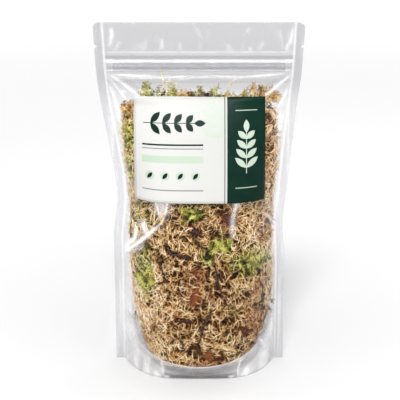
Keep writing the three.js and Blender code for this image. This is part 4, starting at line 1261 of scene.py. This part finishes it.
def curled_stem(rng, length, curl, steps, radius, branches):
    """A curly moss stem that lies along X about the origin, with short side branches."""
    ways = np.cumsum(rng.normal(curl, rng.choice([0.18, 0.4]), steps)) - curl * steps / 2
    rise = 0.35 * np.sin(np.linspace(0, 5, steps) + rng.uniform(0, 6))
    path = np.cumsum(np.stack([np.cos(ways), np.sin(ways), rise], axis=1) * length / steps, axis=0)
    path -= path.mean(axis=0)
    radii = radius * (1 - 0.55 * np.abs(np.linspace(-0.9, 1, steps)) ** 2)
    parts = [tube(path, radii, 3)]
    for k in rng.choice(np.arange(1, steps - 1), branches, replace=branches > steps - 2):
        way = ways[k] + rng.choice([-1, 1]) * rng.uniform(0.5, 1.3)
        reach = rng.uniform(1.4, 3.2)
        tip = path[k] + reach * np.array([math.cos(way), math.sin(way), rng.uniform(-0.2, 0.5)])
        parts.append(spike(path[k], tip, radius * 0.75))
    return joined(parts)


def green_shoot(rng, count=11):
    """A short shoot along Z with a loose star of pointed branches at its head."""
    lean = rng.uniform(-0.5, 0.5, 2)
    path = np.array([(lean[0] * t**2, lean[1] * t**2, -2 + 5 * t) for t in np.linspace(0, 1, 5)])
    parts = [tube(path, [0.3, 0.5, 0.5, 0.45, 0.3], 3)]
    t = np.linspace(0, 1, 5)[:, None]
    for k in range(count):
        turn = 2 * math.pi * k / count + rng.uniform(-0.3, 0.3)
        drop = rng.uniform(-0.5, 0.6)
        reach = rng.uniform(2.6, 5.0)
        out = np.array([math.cos(turn), math.sin(turn), 0])
        side = np.array([-out[1], out[0], 0]) * rng.uniform(-0.8, 0.8)
        branch = path[-2] + reach * (t * out + t * t * side) + (drop * t + 0.8 * np.sin(3 * t)) * (0, 0, 1)
        parts.append(tube(branch, [0.2, 0.33, 0.3, 0.2, 0.1], 3))
    return joined(parts)


def variants(name, shapes):
    """A collection that holds each shape as an object of its own, outside the scene."""
    group = bpy.data.collections.new(name)
    for k, (points, faces) in enumerate(shapes):
        piece = make_object(f"{name}_{k}", points, faces)
        bpy.context.scene.collection.objects.unlink(piece)
        group.objects.link(piece)
    return group


def drop_variants(group):
    """Removes a collection of variants once they have been used."""
    for piece in list(group.objects):
        remove_object(piece)
    bpy.data.collections.remove(group)


def scatter_tree():
    """Geometry nodes that lay random variants all over a surface, and keep each one's root and tint."""
    tree = bpy.data.node_groups.new("Moss scatter", "GeometryNodeTree")
    sockets = {
        "Bed": "Geometry", "Variants": "Collection", "Density": "Float", "Smallest": "Float",
        "Largest": "Float", "Tilt": "Float", "Seed": "Int", "Material": "Material",
    }
    for name, kind in sockets.items():
        tree.interface.new_socket(name, in_out="INPUT", socket_type="NodeSocket" + kind)
    tree.interface.new_socket("Moss", in_out="OUTPUT", socket_type="NodeSocketGeometry")

    def put(kind, inputs=(), output=0, **settings):
        return add_node(tree, kind, inputs, **settings).outputs[output]

    def chance(low, high, offset):
        """A random number for each point."""
        seed = put("ShaderNodeMath", {0: given["Seed"], 1: float(offset)}, operation="ADD")
        return put("FunctionNodeRandomValue", {"Seed": seed, 2: low, 3: high}, 1, data_type="FLOAT")

    def keep(geometry, name, value, kind):
        """Stores a value for each instance."""
        inputs = {"Geometry": geometry, "Name": name, "Value": value}
        return put("GeometryNodeStoreNamedAttribute", inputs, data_type=kind, domain="INSTANCE")

    given = tree.nodes.new("NodeGroupInput").outputs
    spread = {"Mesh": given["Bed"], "Density": given["Density"], "Seed": given["Seed"]}
    points = add_node(tree, "GeometryNodeDistributePointsOnFaces", spread).outputs
    place = put("GeometryNodeInputPosition")
    swirl = put("ShaderNodeTexNoise", {"Vector": place, "Scale": 28.0, "Detail": 1.0})
    drift = put("ShaderNodeMath", {0: swirl, 1: 14.0, 2: chance(-1.1, 1.1, 1)}, operation="MULTIPLY_ADD")
    tilt = given["Tilt"]
    back = put("ShaderNodeMath", {0: tilt, 1: -1.0}, operation="MULTIPLY")
    turn = put("ShaderNodeCombineXYZ", {0: chance(back, tilt, 2), 1: chance(back, tilt, 3), 2: drift})
    turns = {"Rotation": points["Rotation"], "Rotate By": put("FunctionNodeEulerToRotation", {0: turn})}
    shapes = {"Collection": given["Variants"], "Separate Children": True, "Reset Children": True}
    laid = {
        "Points": points["Points"],
        "Instance": put("GeometryNodeCollectionInfo", shapes),
        "Pick Instance": True,
        "Instance Index": chance(0.0, 1000.0, 4),
        "Rotation": put("FunctionNodeRotateRotation", turns, rotation_space="LOCAL"),
        "Scale": chance(given["Smallest"], given["Largest"], 5),
    }
    moss = keep(put("GeometryNodeInstanceOnPoints", laid), "tint", chance(0.0, 1.0, 6), "FLOAT")
    moss = put("GeometryNodeRealizeInstances", {"Geometry": keep(moss, "root", place, "FLOAT_VECTOR")})
    moss = put("GeometryNodeSetMaterial", {"Geometry": moss, "Material": given["Material"]})
    add_node(tree, "NodeGroupOutput", {"Moss": moss})
    return tree


def scatter(name, tree, bed, **inputs):
    """A plain mesh object of what the tree lays over a bed of (points, faces)."""
    source = make_object(name + "_bed", *bed)
    modifier = source.modifiers.new("scatter", "NODES")
    modifier.node_group = tree
    names = {item.name: item.identifier for item in tree.interface.items_tree if item.in_out == "INPUT"}
    for key, value in inputs.items():
        modifier[names[key.capitalize()]] = value
    source.update_tag()
    graph = bpy.context.evaluated_depsgraph_get()
    laid = source.evaluated_get(graph)
    mesh = bpy.data.meshes.new_from_object(laid, preserve_all_data_layers=True, depsgraph=graph)
    remove_object(source)
    if not mesh.polygons:
        raise RuntimeError(f"{name} came out empty")
    mesh.name = name
    return add_object(name, mesh)


def settle(piece):
    """Presses a piece of moss in behind the film and keeps the painted shade of its depth, hollows and dark
    gaps, and the patches that it is in.
    """
    mesh = piece.data
    root = read_places(mesh.attributes["root"].data, "vector")
    points = settled_top(read_places(mesh.vertices, "co"))
    x, y, z = points.T
    hollows = step(0.1, 0.75, ripple(x + 0.3 * y, z, 3.2, 3.2, 52))
    hollows = hollows + 0.3 * step(0.1, 0.8, ripple(x, z, 11, 9, 53))
    gap = HOLLOW_DEPTH * hollows + GAP_DEPTH * both_sides(DARK_GAPS, points)
    y = y - np.sign(y) * np.minimum(make_way(points) + gap, np.abs(y))
    points = pressed_in(np.stack([x, y, z], axis=1))
    mesh.vertices.foreach_set("co", (points * MM).astype(np.float32).ravel())
    mesh.update()
    sunk = np.clip((depth_in(points) - LIT_DEPTH) / FADE_DEPTH, 0, 1)
    # Painted shade in the hollows and dark gaps; pale patches take a little of it off.
    shaded = 0.22 * hollows + 0.2 * both_sides(DARK_GAPS, root)
    keep_value(piece, "sunk", sunk + shaded - 0.13 * both_sides(PALE_PATCHES, root) + 0.04)
    keep_value(piece, "green", both_sides(GREEN_PATCHES, root))
    keep_value(piece, "rust", both_sides(RUST_PATCHES, root))


def build_core():
    """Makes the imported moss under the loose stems, lower at its top and most of all at the back."""
    points, faces = moss_skin(4.2, 130, 110)
    x, y, z = points.T
    rough = 1 + 0.03 * ripple(x + y, z, 5, 5, 33) + 0.03 * ripple(x - y, z, 2.4, 2.6, 34)
    drop, drop_behind = 9, 9  # of its top, and how much more at the back
    z = z - (drop + drop_behind * step(-6, 10, y)) * step(228, 265, z)
    points = settled_top(np.stack([x * rough, y * rough, z], axis=1))
    piece = make_object("packed_moss", pressed_in(points, 3.4), faces)
    place_piece(piece, packed_material(), "straw_moss", "moss_mass")


ZONES = [
    (f"{word}_stems_{level}", side, low, high) for side, word in SIDES.items()
    for level, low, high in (("low", -1, 92), ("middle", 92, 178), ("high", 178, 400))
]
STEM_SHARES = {FRONT: 1.24, BACK: 0.72}  # of the density that the settings give


def hidden_by_label(x, z):
    """Whether a place on the front is well under the label."""
    margin, top_margin = 9, 12
    across = abs(x - LABEL_SHIFT) < LABEL_HALF_WIDTH - margin
    return across and LABEL_BOTTOM + margin < z < LABEL_TOP - top_margin


def build_stems(settings):
    """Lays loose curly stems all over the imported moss, in pieces of a height and side each."""
    rng = np.random.default_rng(settings.seed)
    # How many shapes of each kind, their least and greatest length, curl, steps, radius and side branches.
    kinds = ((9, (13, 19), 0.4, 9, 0.33, 0), (5, (10, 15), 0.3, 8, 0.31, 3))
    group = variants("loose_stem", [
        curled_stem(rng, rng.uniform(*lengths), rng.uniform(-curl, curl), steps, radius, branches)
        for number, lengths, curl, steps, radius, branches in kinds for _ in range(number)
    ])
    tree = scatter_tree()
    material = moss_material("moss stems")
    points, faces = moss_skin(2.4)
    middles = np.array([points[list(face)].mean(axis=0) for face in faces])
    for k, (name, side, low, high) in enumerate(ZONES):
        chosen = [
            face for face, (x, y, z) in zip(faces, middles)
            if low <= z < high and (y < 0) == (side < 0) and not (side == FRONT and hidden_by_label(x, z))
        ]
        used = sorted({v for face in chosen for v in face})
        number = {v: n for n, v in enumerate(used)}
        bed = points[used], [tuple(number[v] for v in face) for face in chosen]
        density = settings.stem_density * STEM_SHARES[side]
        piece = scatter(name, tree, bed, variants=group, density=density, smallest=0.75,
                        largest=1.3, tilt=0.22, seed=settings.seed + 11 * k, material=material)
        settle(piece)
        place_piece(piece, None, "straw_moss", "moss_mass")
    drop_variants(group)


def build_green(settings):
    """Grows a tuft of green shoots on each green place."""
    rng = np.random.default_rng(settings.seed + 1)
    group = variants("green_shoot", [green_shoot(rng) for _ in range(6)])
    tree = scatter_tree()
    material = moss_material("green shoots", 1.0)
    corners, inset = 14, 2.0
    for k, (x, z, size, side) in enumerate(GREEN_TUFTS):
        angles = np.linspace(0, 2 * np.pi, corners, endpoint=False)
        wide, high = 0.62 * size, 0.5 * size
        spots = [(x, z), *((x + wide * np.cos(a), z + high * np.sin(a)) for a in angles)]
        points = np.array([surface_point(*spot, side, inset) for spot in spots])
        faces = [(0, 1 + i, 1 + (i + 1) % corners) for i in range(corners)]
        bed = points, flipped(faces) if side == BACK else faces
        piece = scatter(f"green_shoots_{k + 1}", tree, bed, variants=group, density=settings.shoot_density,
                        smallest=0.7, largest=1.25, tilt=0.7, seed=settings.seed + k, material=material)
        settle(piece)
        place_piece(piece, None, "green_moss", f"green_tuft_{k + 1}")
    drop_variants(group)


def side_shoot(rng, root, way, reach, wander, radii, sides):
    """A short bent tube that leaves a stem at its root."""
    tip = root + way / np.linalg.norm(way) * rng.uniform(*reach)
    middle = (root + tip) / 2 + rng.normal(0, wander, 3)
    return tube(smooth_path([root, middle, tip], len(radii)), radii, sides)


def feathered(rng, path, radius):
    """A stem along a path with short curled branches all along its upper part."""
    count = len(path)
    parts = [tube(path, radius * np.linspace(1, 0.45, count), 4)]
    for k in range(count // 4, count):
        for _ in range(3):
            way = rng.normal(0, 1, 3) * (1, 0.5, 0.7)
            parts.append(side_shoot(rng, path[k], way, (1.8, 3.8), 0.4, (0.2, 0.38, 0.3, 0.1), 3))
    return joined(parts)


def build_strays(settings):
    """Makes the tufts and the few long stems that stand up out of the moss."""
    rng = np.random.default_rng(settings.seed + 2)
    parts, looks = [], []

    def grow(path, radius, green, shade):
        parts.append(feathered(rng, path, radius))
        looks.extend([(shade + rng.uniform(-0.32, 0.38), green)] * len(parts[-1][0]))

    t = np.linspace(0, 1, 8)
    for x, z, lean, rise in STRAYS:
        over, back = lean * t**1.4 + 1.2 * np.sin(5 * t + x), 4 * t - 1.5 * np.sin(3 * t)
        run = np.stack([over, back, 0.75 * rise * t - 3], axis=1)
        grow(surface_point(x, z, FRONT, 2.5) + run, 0.45, 0.4, 0.6)
    for x, half, top, green, shade, count in CROWN:
        for _ in range(count):
            out = rng.uniform(-1, 1)
            root = np.array([x + 0.8 * half * out, rng.uniform(-7, 6), min(top - 12, 256)])
            rise = (top + 1 - root[2]) * (1 - 0.55 * abs(out) ** 1.3) * rng.uniform(0.66, 1.0)
            lean = 0.35 * half * out + rng.normal(0, 0.8)
            run = np.stack([lean * t**1.5 + 0.7 * np.sin(6 * t + 9 * out), 1.5 * t, rise * t], axis=1)
            # Stems rooted behind the middle get painted shade, to darken the tufts' insides.
            grow(root + run, 0.42, green, shade - 0.18 * (root[1] > 0))
    for places, radius, green, shade in LONG_STEMS:
        grow(np.insert(smooth_path(places, 9), 1, -4.0, axis=1), radius, green, shade)
    for side, outline in ((-1, MOSS_LEFT), (1, MOSS_RIGHT)):
        for z in np.concatenate([rng.uniform(*stretch) for stretch in SIDE_STRAYS]):
            root = np.array([side * (along(outline, z) - 2), rng.uniform(-9, 5), z])
            way = np.array([side * rng.uniform(0.3, 1), rng.normal(0, 0.5), rng.normal(0, 0.9)])
            bend = rng.normal(0, 1.2, 3) * np.sin(3 * t)[:, None]
            path = root + way * (rng.uniform(2.5, 7.5) * t)[:, None] + bend
            limit = half_width(path[:, 0], path[:, 2]) - SEAL_WIDTH - 2
            path[:, 0] = side * np.minimum(np.abs(path[:, 0]), limit)
            parts.append(tube(path, 0.3 * np.linspace(1.1, 0.5, len(t)), 3))
            looks.extend([(rng.uniform(0.1, 0.9), rng.uniform(-1, 0.3))] * len(parts[-1][0]))

    points, faces = joined(parts)
    piece = make_object("stray_stems", pressed_in(points, 0.5), faces)
    tint, green = np.array(looks).T
    for name, values in (("tint", tint), ("green", green), ("rust", 0 * tint), ("sunk", 0 * tint)):
        keep_value(piece, name, values)
    root = piece.data.attributes.new("root", "FLOAT_VECTOR", "POINT")
    root.data.foreach_set("vector", (points * MM).astype(np.float32).ravel())
    place_piece(piece, moss_material("stray stems"), "green_moss", "moss_mass")


def build_twigs():
    """Makes each twig as a knobbly stick with a few broken side shoots."""
    material = bark_material()
    rng = np.random.default_rng(5)
    count = 17
    along_twig = np.arange(float(count))
    for k, (places, radius, side) in enumerate(TWIGS):
        bend = 1.3 * ripple(along_twig, 0, 4, 1, 40 + k)[:, None] * (0.9, 0.4)
        jog = 0.5 * ripple(along_twig, 0, 1.5, 1, 140 + k)[:, None] * (0.7, 0.7)
        x, z = (smooth_path(places, count) + bend + jog).T
        path = surface_point(x, z, side, 0.9)
        knobs = 1 + 0.18 * ripple(along_twig, 0, 2, 1, 90 + k)
        parts = [tube(path, 0.66 * radius * (1 - 0.035 * along_twig) * knobs, 7)]
        for n in rng.choice(np.arange(3, count - 3), 2, replace=False):
            ahead = path[n + 1] - path[n]
            way = np.cross(ahead, (0, 1, 0)) * rng.choice([-1, 1]) + 0.8 * ahead
            radii = radius * np.array([0.3, 0.36, 0.3, 0.2, 0.1])
            parts.append(side_shoot(rng, path[n], way, (2.5, 6), 0.3, radii, 5))
        points, faces = joined(parts)
        piece = make_object(f"bark_twig_{k + 1}", pressed_in(points, 0.35), faces)
        place_piece(piece, material, "twig", f"twig_{k + 1}")


def build_scraps():
    """Makes each leaf scrap as a thin curled leaf with a torn edge."""
    material = scrap_material()
    thickness, vein_width = 0.35, 0.35
    v, u = np.meshgrid(np.linspace(-1, 1, 19), np.linspace(-1, 1, 11), indexing="ij")
    for k, (x, z, length, width, turn, side) in enumerate(SCRAPS):
        right, up = heading(turn)
        torn = 0.9 + 0.35 * ripple(3.5 * v, 2.3 * np.sign(u), 1, 1, 50 + k)
        half = width / 2 * (1 - 0.72 * np.abs(v) ** (2.6 + np.sin(k))) * torn
        across = u * half + 1.1 * np.sin(2.4 * v + k)
        onward = v * length / 2 * (0.9 + 0.2 * ripple(2.2 * u, 3 * np.sign(v), 1, 1, 70 + k))
        grid = surface_point(x + across * right - onward * up, z + across * up + onward * right, side, 1.9)
        curl = 1.1 * np.abs(u) ** 2 * (half / (width / 2)) + 0.9 * ripple(2.5 * u, 2.5 * v, 1, 1, 60 + k)
        grid[..., 1] += side * (curl - 0.8)
        grid = pressed_in(grid.reshape(-1, 3), 0.45).reshape(grid.shape)
        piece = make_object(f"dry_leaf_{k + 1}", *shell(grid[:, ::-1] if side == BACK else grid, thickness))
        vein = np.exp(-((np.abs(u) * half / vein_width) ** 2))
        keep_on_shell(piece, vein=vein, tint=np.full(v.shape, (k * 0.37) % 1))
        place_piece(piece, material, "leaf_scrap", f"leaf_scrap_{k + 1}")


# ---------------------------------------------------------------- the stage
CAMERA_DISTANCE, CAMERA_ELEVATION, AIM_HEIGHT = 1000, 15, 161.9
FOCAL_PIXELS, FRAME_PIXELS = 1046.2, 400  # the lens in pixels of the square picture
SENSOR_WIDTH = 36


def aim(thing, way):
    """Turns a lamp or a camera to look along a way."""
    thing.rotation_euler = way.to_track_quat("-Z", "Y").to_euler()


def lay_floor(settings):
    """A round floor that sweeps up far from the pouch."""
    radius, rings, around = 9000, 40, 96
    r = radius * np.linspace(0, 1, rings)[1:, None] ** 1.5
    angle = np.linspace(0, 2 * np.pi, around, endpoint=False)
    lift = 3200 * step(0.55, 1, r / radius) * (r / radius)
    points = np.stack([r * np.cos(angle), r * np.sin(angle), lift + 0 * angle], axis=2).reshape(-1, 3)
    faces = flipped(grid_faces(rings - 1, around, around=True)) + [tuple(range(around))]
    floor = make_object("floor", points - (0, 0, 0.2), faces)
    floor.data.materials.append(floor_material(settings.floor_colour))


def light_world():
    """A white world that is brighter overhead."""
    world = bpy.data.worlds.new("studio")
    world.use_nodes = True
    tree = world.node_tree
    way = add_node(tree, "ShaderNodeTexCoord").outputs["Generated"]
    height = add_node(tree, "ShaderNodeSeparateXYZ", {0: way}).outputs["Z"]
    glow = add_node(tree, "ShaderNodeMapRange", {0: height, 1: 0.0, 2: 1.0, 3: 0.36, 4: 0.68}).outputs[0]
    background = tree.nodes["Background"]
    background.inputs["Color"].default_value = (1, 1, 1, 1)
    tree.links.new(glow, background.inputs["Strength"])
    bpy.context.scene.world = world


def build_stage(settings):
    """Lays the floor, hangs the lamps and sets the camera."""
    lay_floor(settings)
    lamps = [  # name, place, width, height, share of the main lamp's power
        ("key_lamp", (-110, -1080, 1300), 300, 300, 1),
        ("fill_lamp", (1150, -800, 800), 200, 900, 0.03),
        ("side_lamp", (-1150, -500, 700), 200, 900, 0.04),
        ("top_lamp", (0, 300, 1500), 900, 300, 0.05),
        ("rim_lamp", (800, 1000, 900), 300, 900, 0.06),
    ]
    for name, place, width, height, share in lamps:
        data = bpy.data.lights.new(name, "AREA")
        data.shape, data.size, data.size_y = "RECTANGLE", width * MM, height * MM
        data.energy = share * settings.light_power
        lamp = add_object(name, data)
        lamp.location = Vector(place) * MM
        aim(lamp, Vector((0, 0, 150 * MM)) - lamp.location)
    light_world()

    scene = bpy.context.scene
    scene.view_settings.view_transform = "Standard"
    scene.cycles.transparent_max_bounces = 32
    data = bpy.data.cameras.new("camera")
    data.sensor_width = SENSOR_WIDTH
    data.lens = FOCAL_PIXELS / FRAME_PIXELS * SENSOR_WIDTH
    camera = add_object("camera", data)
    elevation = math.radians(CAMERA_ELEVATION)
    back = Vector((0, -math.cos(elevation), math.sin(elevation)))
    camera.location = Vector((0, 0, AIM_HEIGHT)) * MM + back * CAMERA_DISTANCE * MM + Vector((MM, 0, 0))
    aim(camera, -back)
    scene.camera = camera


# ---------------------------------------------------------------- operators
class PouchPart:
    """Options that the operators share."""

    bl_options = {"REGISTER", "UNDO"}


class MOSS_OT_film(PouchPart, bpy.types.Operator):
    """Make the front and back film panels"""

    bl_idname = "moss.film"
    bl_label = "Film Panels"

    def execute(self, context):
        build_film(context.scene.moss_pouch)
        return {"FINISHED"}


class MOSS_OT_gusset(PouchPart, bpy.types.Operator):
    """Make the base gusset"""

    bl_idname = "moss.gusset"
    bl_label = "Base Gusset"

    def execute(self, context):
        build_gusset(context.scene.moss_pouch)
        return {"FINISHED"}


class MOSS_OT_zip(PouchPart, bpy.types.Operator):
    """Make the zip's two tracks"""

    bl_idname = "moss.zip"
    bl_label = "Zip Tracks"

    def execute(self, context):
        build_zip(context.scene.moss_pouch)
        return {"FINISHED"}


class MOSS_OT_label(PouchPart, bpy.types.Operator):
    """Make the label"""

    bl_idname = "moss.label"
    bl_label = "Label"

    def execute(self, context):
        build_label(context.scene.moss_label)
        return {"FINISHED"}


class MOSS_OT_core(PouchPart, bpy.types.Operator):
    """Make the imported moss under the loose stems"""

    bl_idname = "moss.core"
    bl_label = "Packed Moss"

    def execute(self, context):
        build_core()
        return {"FINISHED"}


class MOSS_OT_stems(PouchPart, bpy.types.Operator):
    """Scatter the loose curly stems"""

    bl_idname = "moss.stems"
    bl_label = "Loose Stems"

    def execute(self, context):
        build_stems(context.scene.moss_clump)
        return {"FINISHED"}


class MOSS_OT_green(PouchPart, bpy.types.Operator):
    """Grow the green tufts and the stray stems at the top"""

    bl_idname = "moss.green"
    bl_label = "Green Shoots"

    def execute(self, context):
        build_green(context.scene.moss_clump)
        build_strays(context.scene.moss_clump)
        return {"FINISHED"}


class MOSS_OT_litter(PouchPart, bpy.types.Operator):
    """Make the twigs and the dry leaf scraps"""

    bl_idname = "moss.litter"
    bl_label = "Twigs and Leaf Scraps"

    def execute(self, context):
        build_twigs()
        build_scraps()
        return {"FINISHED"}


class MOSS_OT_stage(PouchPart, bpy.types.Operator):
    """Lay the floor and set the lamps and the camera"""

    bl_idname = "moss.stage"
    bl_label = "Stage"

    def execute(self, context):
        build_stage(context.scene.moss_stage)
        return {"FINISHED"}


OPERATORS = (
    MOSS_OT_stage, MOSS_OT_film, MOSS_OT_gusset, MOSS_OT_zip, MOSS_OT_label, MOSS_OT_core, MOSS_OT_stems,
    MOSS_OT_green, MOSS_OT_litter,
)


class MOSS_PT_panel(bpy.types.Panel):
    """Lists the pieces and their settings"""

    bl_label = "Moss Pouch"
    bl_idname = "MOSS_PT_panel"
    bl_space_type = "VIEW_3D"
    bl_region_type = "UI"
    bl_category = "Moss Pouch"

    def draw(self, context):
        for name in SETTINGS:
            box = self.layout.box()
            settings = getattr(context.scene, name)
            for key in settings.bl_rna.properties.keys()[2:]:  # past its type and its name
                box.prop(settings, key)
        for operator in OPERATORS:
            self.layout.operator(operator.bl_idname)


SETTINGS = {
    "moss_pouch": PouchSettings, "moss_label": LabelSettings, "moss_clump": MossSettings,
    "moss_stage": StageSettings,
}


def register():
    for kind in (*SETTINGS.values(), *OPERATORS, MOSS_PT_panel):
        bpy.utils.register_class(kind)
    for name, kind in SETTINGS.items():
        setattr(bpy.types.Scene, name, PointerProperty(type=kind))


def unregister():
    for name in SETTINGS:
        delattr(bpy.types.Scene, name)
    for kind in (MOSS_PT_panel, *reversed(OPERATORS), *SETTINGS.values()):
        bpy.utils.unregister_class(kind)


def main():
    register()
    for operator in OPERATORS:
        group, name = operator.bl_idname.split(".")
        getattr(getattr(bpy.ops, group), name)()


if __name__ == "__main__":
    main()
